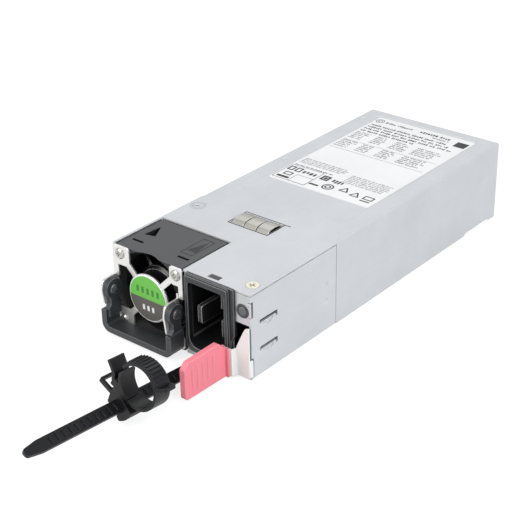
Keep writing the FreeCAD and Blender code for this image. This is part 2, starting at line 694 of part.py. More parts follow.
# ---------------------------------------------------------------- handle
handle = Piece("handle")
bar_top = size.handle_bottom + size.handle_wall
handle_left, handle_right = ear_left, fan_right + size.handle_overhang
left_arm = ear_left + size.guard_sheet + ear_gap
right_arm = ear_right + size.guard_sheet + ear_gap
bar_front = front - size.handle_front
bar_back = front - size.handle_back
handle.pad("XZ", bar_front, bar_back, [
    (handle_left, size.upright_height, 0.5), (handle_left, size.handle_bottom, 4.0),
    (handle_right, size.handle_bottom, 4.0), (handle_right, size.upright_height, 0.5),
    (handle_right - size.handle_wall, size.upright_height),
    (handle_right - size.handle_wall, bar_top, 1.6),
    (handle_left + size.handle_wall, bar_top, 1.6),
    (handle_left + size.handle_wall, size.upright_height)])
neck = 2.3
for left in (left_arm, right_arm):
    handle.pad("YZ", left, left + size.arm_thickness, circles=[(pivot_y, size.pivot_height, size.eye_radius)])
    handle.pad("YZ", left, left + size.arm_thickness, [
        (pivot_y - neck - 1.2, size.upright_height - 4), (pivot_y + neck + 0.9, size.upright_height - 4),
        (pivot_y + neck + 0.9, size.upright_height + 0.4), (pivot_y + neck, size.upright_height + 1.6),
        (pivot_y + neck, size.pivot_height - 2), (pivot_y - neck, size.pivot_height - 2),
        (pivot_y - neck, size.upright_height + 1.6), (pivot_y - neck - 1.2, size.upright_height + 0.4)])
    handle.pocket("YZ", left, left + size.arm_thickness,
                  circles=[(pivot_y, size.pivot_height, size.rivet_radius + size.pin_clearance)])

handle_rivets = Piece("handle_rivets")
for left, arm_left in ((ear_left, left_arm), (ear_right, right_arm)):
    arm_right = arm_left + size.arm_thickness
    handle_rivets.revolve("XY", size.pivot_height, (0, pivot_y, "x"), [
        (left - 0.5, pivot_y), (left - 0.5, pivot_y + 2.3), (left - 0.2, pivot_y + 2.6),
        (left, pivot_y + 2.6), (left, pivot_y + size.rivet_radius),
        (arm_right + 0.1, pivot_y + size.rivet_radius), (arm_right + 0.1, pivot_y + 2.4),
        (arm_right + 0.5, pivot_y + 2.1), (arm_right + 0.8, pivot_y + 1.2), (arm_right + 0.8, pivot_y)])

# ---------------------------------------------------------------- mains inlet
flange_front = front - size.inlet_stand
step = front - size.inlet_stand / 2
cavity = size.cavity_margin
cavity_left, cavity_right = size.inlet_left + cavity, size.inlet_right - cavity - 0.7
cavity_low, cavity_high = size.inlet_bottom + 2.6, size.case_height - 3.2
inlet_housing = Piece("inlet_housing")
wing_right = size.inlet_right + 1.8
inlet_housing.pad("XZ", step, front, [
    (size.inlet_left, size.inlet_bottom, 3.0), (size.inlet_right, size.inlet_bottom, 3.0),
    (size.inlet_right, 14.4), (wing_right, 17.8, 0.6),
    (wing_right, size.case_height, 0.6), (size.inlet_left, size.case_height, 0.6)])
inlet_housing.pad("XZ", flange_front, step, [
    (size.inlet_left + 0.3, size.inlet_bottom + 0.4, 3.0),
    (size.inlet_right - size.inlet_rim, size.inlet_bottom + 0.4, 3.0),
    (size.inlet_right - size.inlet_rim, size.case_height - size.inlet_rim, 0.8),
    (size.inlet_left + 0.3, size.case_height - size.inlet_rim, 0.8)])
inlet_back = front + size.inlet_depth
inlet_housing.pad("XZ", front, inlet_back, rectangle(
    inlet_body_left, inlet_body_bottom, inlet_body_right, inlet_body_top, 1.5))
cavity_rear = flange_front + size.cavity_depth
inlet_housing.pocket("XZ", flange_front, cavity_rear, [
    (cavity_left + 0.3, cavity_low, 4.0), (cavity_right, cavity_low, 4.0),
    (cavity_right, cavity_high, 1.8), (cavity_left + 0.3, cavity_high, 1.8)])
pin_middle = (cavity_low + cavity_high) / 2
ground_x = inlet_middle - 5.6
live_x = ground_x + size.ground_offset
pin_places = [(ground_x, pin_middle, front), (live_x, pin_middle + size.pin_spacing / 2, front + 5.0),
              (live_x, pin_middle - size.pin_spacing / 2, front + 5.0)]
for pin_x, pin_z, tip in pin_places:
    inlet_housing.pocket("XZ", cavity_rear, inlet_back, rectangle(
        pin_x - size.pin_width / 2, pin_z - size.pin_height / 2,
        pin_x + size.pin_width / 2, pin_z + size.pin_height / 2))
# snap hook that springs into the cover's slot
inlet_housing.pad("YZ", snap_left + 0.4, snap_right - 0.4, [
    (snap_front + 0.3, inlet_body_top - 0.5), (snap_rear + 3.5, inlet_body_top - 0.5),
    (snap_rear - 0.2, cover_underside - 0.1), (snap_rear - 0.2, size.case_height - 0.3),
    (snap_front + 0.3, size.case_height - 0.3)])

inlet_pins = Piece("inlet_pins")
pin_rear = inlet_back + 3.0
for pin_x, pin_z, tip in pin_places:
    half_width, half_height = size.pin_width / 2, size.pin_height / 2
    inlet_pins.pad("YZ", pin_x - half_width, pin_x + half_width, [
        (tip, pin_z - half_height, 0.8), (pin_rear, pin_z - half_height),
        (pin_rear, pin_z + half_height), (tip, pin_z + half_height, 0.8)])

# small upright board behind the inlet that carries the line filter's first parts
inlet_board = Piece("inlet_board")
inlet_board.pad("XZ", pin_rear, pin_rear + size.board_thickness, rectangle(
    inlet_body_left, board_top, inlet_body_right + 1.0, cover_underside - 2.0, 0.6))

led_bezel = Piece("led_bezel")
led_bezel.revolve("XY", led_height, (size.led_place, 0, "y"), [
    (size.led_place + size.led_radius, front - 0.4), (size.led_place + size.led_bezel - 0.3, front - 0.4),
    (size.led_place + size.led_bezel, front), (size.led_place + led_tube, front),
    (size.led_place + led_tube, front + 3.5), (size.led_place + size.led_radius, front + 3.5)])
light_pipe = Piece("led_light_pipe")
light_pipe.revolve("XY", led_height, (size.led_place, 0, "y"), [
    (size.led_place, front - 0.5), (size.led_place + size.led_radius - 0.3, front - 0.5),
    (size.led_place + size.led_radius, front - 0.2),
    (size.led_place + size.led_radius, front + 12), (size.led_place, front + 12)])
led_board = Piece("led_board")
led_board.pad("XZ", front + 12, front + 13, rectangle(
    size.led_place - 3.7, led_height - 6, wall_inside, led_height + 4, 0.4))

# ---------------------------------------------------------------- release latch
leaf_right = wall_inside
leaf_left = leaf_right - size.latch_sheet
leaf_foot = size.sheet + 0.4
plate_front = front - 1.0
plate_back = plate_front + size.latch_sheet
plate_right = side - 0.4
jog_right, jog_left = inlet_body_right + 4.2, inlet_body_right + 3.4
tongue_back = front - size.inlet_stand - 0.5
tongue_front = tongue_back - size.latch_sheet
tongue_left = size.grip_place + 0.9
latch_spring = Piece("latch_spring")
# leaf along the right wall, welded at its rear end
latch_spring.pad("YZ", leaf_left, leaf_right, [
    (nose_rear, leaf_foot), (front + size.latch_pivot, leaf_foot + 6.0, 2.0),
    (front + size.latch_pivot, size.latch_height, 2.0), (front + 4.5, size.latch_height, 1.5),
    (front + 3.0, nose_top), (nose_rear, nose_top)])
# nose: the sheet bends out through the wall's notch and round to the front plate
nose_out = side + 0.25
latch_spring.pad("XY", leaf_foot, nose_top, [
    (plate_right - 3.4, plate_front), (nose_out, plate_front, 1.0), (nose_out, nose_rear),
    (leaf_right, nose_rear), (leaf_right, nose_rear + 3.6), (leaf_left, nose_rear + 3.6),
    (leaf_left, nose_rear - 0.8), (nose_out - size.latch_sheet, nose_rear - 0.8),
    (nose_out - size.latch_sheet, plate_back), (plate_right - 3.4, plate_back)])
# front plate with its sloping shoulder
latch_spring.pad("XZ", plate_front, plate_back, [
    (jog_right, leaf_foot - 0.6), (plate_right, leaf_foot - 0.6), (plate_right, size.latch_height, 0.4),
    (plate_right - 1.7, size.latch_height - 0.6, 0.8), (plate_right - 2.8, size.latch_height - 2.6),
    (jog_right + 0.1, 13.8, 0.8), (jog_right, 13.0)])
latch_spring.pad("XY", leaf_foot - 0.6, 13.0, [
    (jog_right + 0.8, plate_back), (jog_right, plate_back), (jog_left, tongue_back),
    (tongue_left, tongue_back), (tongue_left, tongue_front), (jog_left + 0.5, tongue_front),
    (jog_right + 0.5, plate_front), (jog_right + 0.8, plate_front)])

# moulded grip: a strip clasps the spring's tongue and a flat pad stands forward of it
latch_grip = Piece("latch_grip")
strip_left, strip_right = size.grip_place - 0.3, size.grip_place + 4.0
strip_front = tongue_front - 0.8
grip_foot = 0.4
latch_grip.pad("XY", grip_foot, 13.4, [
    (strip_left, strip_front), (strip_right, strip_front, 0.5), (strip_right, tongue_front),
    (tongue_left, tongue_front), (tongue_left, tongue_back), (strip_left, tongue_back)])
pad_front = front - size.grip_front
grip_right = size.grip_place + size.grip_thickness
latch_grip.pad("YZ", size.grip_place, grip_right, [
    (pad_front, grip_foot + 0.6, 1.5), (strip_front + 0.4, grip_foot, 0.4),
    (strip_front + 0.4, 13.2), (strip_front - 3.5, size.grip_height, 0.8),
    (pad_front + 2.5, size.grip_height, 0.8), (pad_front, size.grip_height - 2.6, 0.8)])
# grip ribs on both faces of the pad
for low, high in ((size.grip_place - 0.1, size.grip_place), (grip_right, grip_right + 0.1)):
    rib = latch_grip.pad("YZ", low, high, rectangle(
        pad_front + 4.0, grip_foot + 3.0, pad_front + 5.0, size.grip_height - 3.0))
    latch_grip.row([rib], "Y_Axis", 12.0, 5)

# ---------------------------------------------------------------- strap and cable clamp
# These are modelled about the strap's centre line, with X across it and -Y towards its tip.
strap_frame = FreeCAD.Placement(
    FreeCAD.Vector(size.strap_place.value, front.value, size.strap_height.value),
    FreeCAD.Rotation(X_AXIS, -size.strap_rise.value) * FreeCAD.Rotation(Y_AXIS, size.strap_roll.value))
strap_half = size.strap_width / 2
strap_top = size.strap_thickness / 2
twist_end = -9.0

strap = Piece("strap")
strap.pad("XY", -strap_top, strap_top, [
    (-strap_half, twist_end), (-strap_half, 7 - size.strap_length, 2.5),
    (-1.6, -size.strap_length, 1.4), (1.6, -size.strap_length, 1.4),
    (strap_half, 7 - size.strap_length, 2.5), (strap_half, twist_end)])
rung = strap.pocket("XY", strap_top - 0.5, strap_top,
                    rectangle(1.0 - strap_half, 11 - size.strap_length,
                              strap_half - 1.0, 12.4 - size.strap_length))
rung_pitch = 3.2
rung_count = int((size.strap_length.value - 22) / rung_pitch) + 1
strap.row([rung], "Y_Axis", Size(rung_pitch) * (rung_count - 1), rung_count)
strap.body.Placement = strap_frame

# root of the strap: level under the inlet, then twisting into the strap's own roll
strap_root = document.addObject("Part::Feature", "strap_root")
strap_root.Label = "strap_root"
pieces["strap_root"] = strap_root


def strap_section(place):
    half, top = strap_half.value, strap_top.value
    corners = [FreeCAD.Vector(x, 0, z) for x, z in ((-half, -top), (half, -top), (half, top), (-half, top))]
    corners = [place.multVec(corner) for corner in corners]
    return Part.makePolygon(corners + corners[:1])


def root_place(back):
    return FreeCAD.Placement(
        FreeCAD.Vector(size.strap_place.value, front.value + back, size.strap_height.value),
        FreeCAD.Rotation())


twist_stations = [root_place(1.0)]
turn_steps = 4
for turn in range(turn_steps + 1):
    share = turn / turn_steps
    station = strap_frame.multVec(FreeCAD.Vector(0, twist_end * (0.25 + 0.75 * share), 0))
    turned = FreeCAD.Rotation(X_AXIS, -size.strap_rise.value * share) * FreeCAD.Rotation(
        Y_AXIS, size.strap_roll.value * share)
    if turn == 0:
        station.z = size.strap_height.value
    twist_stations.append(FreeCAD.Placement(station, turned))
twisted = Part.makeLoft([strap_section(place) for place in twist_stations], True, True)
anchor = Part.makeBox(strap_half.value * 2 + 4, 5.0, 3.0, FreeCAD.Vector(
    size.strap_place.value - strap_half.value - 2, front.value + 1.1, 1.0))
neck_block = Part.makeBox(strap_half.value * 2, 0.6, strap_top.value * 2, FreeCAD.Vector(
    size.strap_place.value - strap_half.value, front.value + 0.9,
    size.strap_height.value - strap_top.value))
strap_root.Shape = twisted.fuse([anchor, neck_block]).removeSplitter()

# carriage: a sleeve round the strap with a saddle for the ring and a slotted side plate
carriage_near = -size.clamp_width / 2
carriage_far = size.clamp_width / 2
clamp_frame = strap_frame.multiply(FreeCAD.Placement(
    FreeCAD.Vector(0, -size.clamp_place.value, 0), FreeCAD.Rotation()))
sleeve_gap = 0.15
clamp_base = Piece("clamp_base")
clamp_base.pad("XZ", carriage_near, carriage_far, [
    (-5.0, -2.6, 0.6), (5.4, -2.6, 0.6), (6.4, 0.6), (6.2, 2.2, 0.4), (0.5, 3.8), (-5.6, 4.4, 0.6),
    (-5.6, 1.2)])
clamp_base.pocket("XZ", carriage_near, carriage_far, rectangle(
    -strap_half - sleeve_gap, -strap_top - sleeve_gap, strap_half + sleeve_gap, strap_top + sleeve_gap))
clamp_base.pad("XY", 1.4, 3.0, [
    (-5.4, carriage_near), (-12.5, carriage_near, 0.8), (-12.5, carriage_far, 0.8), (-5.4, carriage_far)])
clamp_base.pocket("XY", 1.4, 3.0, rectangle(-11.3, carriage_near + 1.3, -6.6, carriage_far - 1.3, 0.5))
clamp_base.pad("XY", 1.4, 3.0, rectangle(-9.4, carriage_near + 3.4, -5.4, carriage_near + 5.4, 0.3))
foot_low = -5.4
clamp_base.pad("XZ", carriage_near, carriage_near + 3.2, [
    (1.2, -2.2), (1.5, -4.6, 0.6), (3.2, foot_low, 0.6), (5.2, -3.0, 0.6), (4.8, -2.2)])
clamp_base.body.Placement = clamp_frame

# fixed quarter of the ring, standing on the saddle, with the slot wall that guides the band
ring_outside = size.ring_radius + size.ring_wall
ring_frame = clamp_frame.multiply(FreeCAD.Placement(
    FreeCAD.Vector(size.ring_side.value, 0, size.ring_height.value), FreeCAD.Rotation()))
ring_near, ring_far = carriage_near, carriage_near + size.ring_width
clamp_seat = Piece("clamp_seat")
clamp_seat.pad("XZ", ring_near, ring_far, paths=[
    sector(size.ring_radius, ring_outside, 192, 262)])
saddle_left, saddle_right = 4.4 - size.ring_height, 3.8 - size.ring_height
lever_foot = -6.2
clamp_seat.pad("XZ", ring_near, ring_far, [
    (-8.6, saddle_left), (-2.5, saddle_right), (-1.8, 0.2 - ring_outside), (-6.6, -6.4),
    (-8.8, lever_foot), (-11.2, lever_foot), (-10.9, lever_foot - 1.3), (-8.6, lever_foot - 2.2)])
clamp_seat.body.Placement = ring_frame

# band: three quarters of the ring with ratchet teeth and a thumb tab
band_turn = 40.0
clamp_band = Piece("clamp_band")
clamp_band.pad("XZ", ring_near, ring_far, paths=[
    sector(size.ring_radius, ring_outside, -94 - band_turn, 170 - band_turn)])
tooth = clamp_band.pad("XZ", ring_near + 0.5, ring_far - 0.5, [
    (ring_outside * 0.985 - 0.1, 1.6), (ring_outside * 0.985 + 0.7, 2.0), (ring_outside * 0.98, 3.2),
    (ring_outside * 0.93, 3.2), (ring_outside * 0.94, 1.6)])
clamp_band.polar([tooth], "Y_Axis", 11, -92.0)
clamp_band.pad("XY", -0.7, 0.7, [
    (ring_outside - 0.6, ring_near + 0.3), (ring_outside + 3.6, ring_near + 2.4, 1.5),
    (ring_outside + 3.4, ring_far + 1.0, 1.8), (ring_outside - 0.6, ring_far - 0.2)])
clamp_band.body.Placement = ring_frame.multiply(
    FreeCAD.Placement(FreeCAD.Vector(), FreeCAD.Rotation(Y_AXIS, -band_turn)))

# release lever: a leaning thumb plate whose foot stands on the seat's shoulder
clamp_lever = Piece("clamp_lever")
clamp_lever.pad("XZ", ring_near, ring_far, [
    (-11.1, lever_foot), (-9.9, lever_foot), (-10.4, -4.4), (-15.5, -1.0, 0.4), (-16.2, -2.1, 0.4),
    (-11.7, -5.0)])
clamp_lever.body.Placement = ring_frame

# ---------------------------------------------------------------- grounding spring
grounding_spring = Piece("grounding_spring")
spring_sheet = 0.25
arch_top = size.case_height + 1.2
finger_gap = 0.5
foot_front, foot_rear = spring_front - 3.0, spring_rear + 3.0
finger = (as_size(spring_right) - spring_left - 0.6 - 2 * finger_gap) / 3
flange_low = cover_underside - spring_sheet
grounding_spring.pad("XY", flange_low, cover_underside,
                     rectangle(spring_left - 1.0, foot_front, spring_right + 1.0, spring_front + 0.2),
                     rectangle(spring_left - 1.0, spring_rear - 0.2, spring_right + 1.0, foot_rear))
arch = grounding_spring.pad("YZ", spring_left + 0.3, spring_left + 0.3 + finger, [
    (spring_front, flange_low), (spring_front, cover_underside), (spring_front + 2.2, arch_top - 0.4, 1.6),
    (spring_front + 5.6, arch_top, 6.0), (spring_rear - 2.2, arch_top - 0.4, 1.6),
    (spring_rear, cover_underside), (spring_rear, flange_low),
    (spring_rear - 2.4, arch_top - 0.4 - spring_sheet, 1.5),
    (spring_front + 5.6, arch_top - spring_sheet, 6.0),
    (spring_front + 2.4, arch_top - 0.4 - spring_sheet, 1.5)])
grounding_spring.row([arch], "X_Axis", (finger + finger_gap) * 2, 3)

# ---------------------------------------------------------------- boards and their mounts
def along(place):
    """A place behind the front wall, in step with the case's length."""
    return front + size.case_length * (place / 185.0)


board_left, board_right = -flange_inside + 0.8, flange_inside - 0.8
board_front = fan_end + 5.4
board_rear = rear - size.sheet - 1.0
standoff_places = [(x, y) for x in (board_left + 3.5, board_right - 3.5)
                   for y in (board_front + 4, along(127.3), board_rear - 4)]

insulator_sheet = Piece("insulator_sheet")
insulator_sheet.pad("XY", size.sheet, size.sheet + 0.4,
                    rectangle(board_left, board_front, board_right, board_rear, 1.0),
                    circles=[(x, y, 3.0) for x, y in standoff_places])
standoffs = Piece("board_standoffs")
standoffs.pad("XY", size.sheet, size.board_height, circles=[(x, y, 2.5) for x, y in standoff_places])
standoffs.pocket("XY", size.sheet + 1, size.board_height, circles=[(x, y, 1.25) for x, y in standoff_places])

main_board = Piece("main_board")
main_board.pad("XY", size.board_height, board_top, [
    (board_left, board_front), (board_right, board_front), (board_right, board_rear),
    (edge_half, board_rear), (edge_half, rear + size.edge_reach, 0.8),
    (-edge_half, rear + size.edge_reach, 0.8), (-edge_half, board_rear), (board_left, board_rear)],
    circles=[(x, y, 1.4) for x, y in standoff_places])

board_screws = Piece("board_screws")
for x, y in standoff_places:
    board_screws.revolve("XZ", y, (x, 0, "y"), [
        (x, size.board_height - 3), (x + 1.2, size.board_height - 3), (x + 1.2, board_top),
        (x + 2.4, board_top), (x + 2.4, board_top + 0.8), (x + 1.8, board_top + 1.4), (x, board_top + 1.4)])

# gold fingers on both faces of the board's rear edge
edge_contacts = Piece("edge_contacts")
contact_pitch = 2.54
contact_count = int((size.edge_width.value - 2.0) / contact_pitch)
contact_span = Size(contact_pitch) * (contact_count - 1)
contact_left = -contact_span / 2 - 0.8
faces = [edge_contacts.pad("XY", low, low + 0.1, rectangle(
    contact_left, rear + 1.2, contact_left + 1.6, rear + size.edge_reach - 0.8))
    for low in (size.board_height - 0.1, board_top)]
edge_contacts.row(faces, "X_Axis", contact_span, contact_count)

# ---------------------------------------------------------------- power train on the board
def can(piece, x, y, z, radius, length, way):
    """A capacitor can: rolled groove near one end and a chamfered rim."""
    groove = length * 0.12
    profile = [(0, 0), (radius, 0), (radius, groove), (radius - 0.5, groove + 0.6),
               (radius, groove + 1.2), (radius, length - 0.6), (radius - 0.6, length), (0, length)]
    if way == "y":
        piece.revolve("XY", z, (x, 0, "y"), [(x + reach, y + height) for reach, height in profile])
    else:
        piece.revolve("XZ", y, (x, 0, "y"), [(x + reach, z + height) for reach, height in profile])


bulk_capacitors = Piece("bulk_capacitors")
capacitor_height = board_top + 0.1 + size.capacitor_radius
capacitor_front = along(84.0)
for x in (board_left + 6.0 + size.capacitor_radius, board_left + 6.6 + size.capacitor_radius * 3):
    can(bulk_capacitors, x, capacitor_front, capacitor_height, size.capacitor_radius,
        size.case_length * 0.227, "y")

# E-core pair with a window each side of its centre leg, and the winding round that leg
core_left, core_front = 2.0, along(135.0)
core_width, core_depth, core_height, leg = 30.0, 19.0, 24.0, 9.0
core_middle = core_left + core_width / 2
transformer_core = Piece("transformer_core")
window_width = (core_width - 2 * leg / 2 - leg) / 2
core_foot = board_top + 0.8
transformer_core.pad("XZ", core_front, core_front + core_depth,
                     rectangle(core_left, core_foot, core_left + core_width, core_foot + core_height, 0.5),
                     rectangle(core_left + leg / 2, core_foot + 4.5, core_left + leg / 2 + window_width,
                               core_foot + core_height - 4.5),
                     rectangle(core_left + core_width - leg / 2 - window_width, core_foot + 4.5,
                               core_left + core_width - leg / 2, core_foot + core_height - 4.5))
winding = Piece("transformer_winding")
wound = leg / 2 + window_width - 0.3
winding.pad("XY", core_foot + 4.7, core_foot + core_height - 4.7,
            rectangle(core_middle - wound, core_front - 5.6, core_middle + wound,
                      core_front + core_depth + 5.6, 3.0),
            rectangle(core_middle - leg / 2 - 0.1, core_front - 0.2, core_middle + leg / 2 + 0.1,
                      core_front + core_depth + 0.2, 0.1))
core_base = Piece("transformer_base")
core_base.pad("XY", board_top, core_foot, rectangle(
    core_left, core_front - 5.0, core_left + core_width, core_front + core_depth + 5.0, 1.0))

pfc_choke = Piece("pfc_choke")
choke_x, choke_y = board_left + 15.0, along(66.0)
choke_height = board_top + 14.6
pfc_choke.revolve("XY", choke_height, (choke_x, 0, "y"), [
    (choke_x + 6.0, choke_y - 4), (choke_x + 8.0, choke_y - 6), (choke_x + 12.0, choke_y - 6),
    (choke_x + 14.0, choke_y - 4), (choke_x + 14.0, choke_y + 4), (choke_x + 12.0, choke_y + 6),
    (choke_x + 8.0, choke_y + 6), (choke_x + 6.0, choke_y + 4)])

emi_choke = Piece("emi_choke")
emi_x, emi_y = 8.0, along(46.5)
emi_choke.revolve("XZ", emi_y, (emi_x, 0, "y"), [
    (emi_x + 3.0, board_top), (emi_x + 9.0, board_top), (emi_x + 9.0, board_top + 12.0),
    (emi_x + 7.0, board_top + 14.0), (emi_x + 5.0, board_top + 14.0), (emi_x + 3.0, board_top + 12.0)])

x_capacitor = Piece("x_capacitor")
x_capacitor.pad("XY", board_top, board_top + 15.0,
                rectangle(18.5, along(38.0), 26.5, along(56.0), 0.8))
fuse = Piece("fuse")
fuse.revolve("XY", board_top + 3.6, (30.6, 0, "y"), [
    (30.6, along(41)), (33.0, along(41)), (33.0, along(44.6)), (32.6, along(44.6)),
    (32.6, along(54.4)), (33.0, along(54.4)), (33.0, along(58)), (30.6, along(58))])
fuse_clips = Piece("fuse_clips")
for clip in (41.6, 54.8):
    fuse_clips.pad("XZ", along(clip), along(clip) + 2.6,
                   rectangle(28.4, board_top, 32.8, board_top + 1.1))
relay = Piece("relay")
relay.pad("XY", board_top, board_top + 15.0, rectangle(6.0, along(60.0), 21.0, along(72.0), 0.8))
bridge_rectifier = Piece("bridge_rectifier")
bridge_rectifier.pad("XY", board_top, board_top + 17.0, [
    (24.0, along(60.0), 0.6), (28.0, along(60.0), 0.6), (28.0, along(80.0), 0.6),
    (24.0, along(80.0), 2.0)])

# finned heat sinks, extruded along the board
def heat_sink(name, left, start, length, width, height, fins):
    piece = Piece(name)
    piece.pad("XZ", start, start + length,
              rectangle(left, board_top, left + 2.0, board_top + height, 0.4))
    gap = (height - 1.2) / (fins - 1)
    fin = piece.pad("XZ", start, start + length, rectangle(
        left + 1.0, board_top + 0.0, left + width, board_top + 1.2))
    piece.row([fin], "Z_Axis", Size(gap) * (fins - 1), fins)


heat_sink("primary_heatsink", 28.0, along(60.0), 64.0, 4.9, 24.0, 6)
heat_sink("secondary_heatsink", -9.5, along(131.0), 36.0, 9.0, 22.0, 5)

power_transistors = Piece("power_transistors")
transistor = power_transistors.pad("XY", board_top, board_top + 20.0,
                                   rectangle(23.6, along(84.0), 28.0, along(94.0), 0.4))
power_transistors.row([transistor], "Y_Axis", Size(28.0), 3)
rectifiers = Piece("output_transistors")
rectifier = rectifiers.pad("XY", board_top, board_top + 16.0,
                           rectangle(-12.7, along(133.0), -9.5, along(142.0), 0.4))
rectifiers.row([rectifier], "Y_Axis", Size(22.0), 3)

output_capacitors = Piece("output_capacitors")
for column in range(3):
    for line in range(2):
        can(output_capacitors, board_left + 5.2 + line * 9.8, along(138.0) + column * 9.8,
            board_top, Size(4.7), 16.0, "z")
busbars = Piece("output_busbars")
for left in (2.0, 16.5):
    busbars.pad("YZ", left, left + 10.0, [
        (along(162.0), board_top), (rear - 4.0, board_top), (rear - 4.0, board_top + 1.4),
        (along(163.4), board_top + 1.4), (along(163.4), board_top + 9.0), (along(162.0), board_top + 9.0)])
control_board = Piece("control_board")
control_left = board_left + 0.6
control_board.pad("YZ", control_left, control_left + 1.2,
                  rectangle(along(84.0), board_top, along(122.0), board_top + 24.0, 0.6))
control_chips = Piece("control_chips")
for start, width in ((87.0, 9.0), (100.0, 6.0), (110.0, 10.0)):
    control_chips.pad("YZ", control_left + 1.2, control_left + 2.6, rectangle(
        front + start, board_top + 9.0, front + start + width, board_top + 18.0, 0.3))

# fan lead: from the fan's frame down to its socket at the board's front edge
fan_socket = Piece("fan_socket")
socket_front = board_front + 0.6
fan_socket.pad("XY", board_top, board_top + 6.0,
               rectangle(board_left + 8.0, socket_front, board_left + 18.0, socket_front + 6.0, 0.4))
fan_lead = Piece("fan_lead")
lead_x = board_left + 9.6
wire = fan_lead.pad("XZ", fan_end, socket_front, circles=[(lead_x, board_top + 3.0, 0.8)])
fan_lead.row([wire], "X_Axis", Size(6.6), 4)

# ---------------------------------------------------------------- checks and export
document.recompute()
for item in document.Objects:
    for fault in ("Invalid", "Error"):
        if fault in item.State:
            raise ValueError(f"{item.Label}: {fault}")
for name, piece in pieces.items():
    if piece.Shape.isNull() or not piece.Shape.isValid() or not piece.Shape.Solids:
        raise ValueError(f"{name} has no valid solid")

os.makedirs("parts", exist_ok=True)
for name, piece in pieces.items():
    piece.Shape.exportStep(os.path.join("parts", f"{name}.step"))
print(len(pieces), "parts written")
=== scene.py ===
"""Looks of a hot swap server power supply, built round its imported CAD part."""
import math
import random

import bmesh
import bpy
from mathutils import Matrix, Vector


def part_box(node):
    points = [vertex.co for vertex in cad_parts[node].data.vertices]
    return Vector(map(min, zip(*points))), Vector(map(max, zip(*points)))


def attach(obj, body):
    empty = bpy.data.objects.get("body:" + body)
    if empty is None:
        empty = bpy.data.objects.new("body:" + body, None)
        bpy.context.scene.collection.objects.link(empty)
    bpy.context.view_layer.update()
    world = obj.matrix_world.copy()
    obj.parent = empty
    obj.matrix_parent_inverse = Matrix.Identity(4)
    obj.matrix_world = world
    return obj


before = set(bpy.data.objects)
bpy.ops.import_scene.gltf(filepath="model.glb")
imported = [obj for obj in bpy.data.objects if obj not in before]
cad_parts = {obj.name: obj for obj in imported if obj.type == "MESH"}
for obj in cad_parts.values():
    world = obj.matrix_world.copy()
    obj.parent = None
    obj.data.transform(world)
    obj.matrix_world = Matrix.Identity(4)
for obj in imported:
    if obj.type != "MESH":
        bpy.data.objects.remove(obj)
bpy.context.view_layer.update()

# ---- camera
# A long lens looks down on the front right corner from chest height, rolled by a hair.
view_azimuth, view_elevation, view_roll = (math.radians(turn) for turn in (39.93, 27.96, -1.12))
camera = bpy.data.objects.new("camera", bpy.data.cameras.new("camera"))
camera.data.sensor_width = 36.0
camera.data.lens = 91.39
camera.data.clip_start = 0.01
camera.location = (0.32025, -0.42471, 0.28538)
camera.rotation_euler = (Matrix.Rotation(view_azimuth, 3, "Z")
                         @ Matrix.Rotation(math.pi / 2 - view_elevation, 3, "X")
                         @ Matrix.Rotation(view_roll, 3, "Z")).to_euler()
bpy.context.scene.collection.objects.link(camera)
bpy.context.scene.camera = camera
bpy.context.scene.view_settings.view_transform = "Standard"


# ---- studio
# White paper under and behind the unit, lit by three large soft boxes.  The paper shows white to the
# camera and in gloss, and keeps the unit's soft shadow.
def add_node(tree, kind, sockets=None, **settings):
    """A shader node whose sockets take either a value or another node's output."""
    node = tree.nodes.new("ShaderNode" + kind)
    for name, value in settings.items():
        setattr(node, name, value)
    for name, value in (sockets or {}).items():
        if isinstance(value, bpy.types.NodeSocket):
            tree.links.new(value, node.inputs[name])
        else:
            node.inputs[name].default_value = value
    return node


def seen_rays(tree):
    """One for the rays on which the white background shows: camera, gloss and glass."""
    path = add_node(tree, "LightPath")
    either = add_node(tree, "Math", {0: path.outputs["Is Camera Ray"], 1: path.outputs["Is Glossy Ray"]},
                      operation="MAXIMUM")
    return add_node(tree, "Math", {0: either.outputs[0], 1: path.outputs["Is Transmission Ray"]},
                    operation="MAXIMUM").outputs[0]


world = bpy.data.worlds.new("studio")
world.use_nodes = True
sky = world.node_tree
sky.nodes.clear()
room_light = add_node(sky, "Background", {"Color": (0.95, 0.97, 1.0, 1), "Strength": 0.66})
white_card = add_node(sky, "Background", {"Color": (1, 1, 1, 1), "Strength": 1.0})
path = add_node(sky, "LightPath")
room = add_node(sky, "MixShader", {0: path.outputs["Is Camera Ray"], 1: room_light.outputs[0],
                                   2: white_card.outputs[0]})
add_node(sky, "OutputWorld", {"Surface": room.outputs[0]})
bpy.context.scene.world = world

paper_material = bpy.data.materials.new("studio_paper")
paper_material.use_nodes = True
paper_tree = paper_material.node_tree
paper_tree.nodes.clear()
paper_face = add_node(paper_tree, "BsdfDiffuse", {"Color": (0.78, 0.78, 0.78, 1)})
paper_glow_gain = 1.22
glow_level = add_node(paper_tree, "Math", {0: seen_rays(paper_tree), 1: paper_glow_gain},
                      operation="MULTIPLY")
paper_glow = add_node(paper_tree, "Emission", {"Color": (1, 1, 1, 1), "Strength": glow_level.outputs[0]})
glow_share = add_node(paper_tree, "MixShader", {0: 0.62, 1: paper_face.outputs[0], 2: paper_glow.outputs[0]})
# from underneath the paper is clear, so that the unit's floor can be looked at
paper_side = add_node(paper_tree, "NewGeometry")
clear = add_node(paper_tree, "BsdfTransparent")
paper_shown = add_node(paper_tree, "MixShader", {0: paper_side.outputs["Backfacing"],
                                                 1: glow_share.outputs[0], 2: clear.outputs[0]})
add_node(paper_tree, "OutputMaterial", {"Surface": paper_shown.outputs[0]})

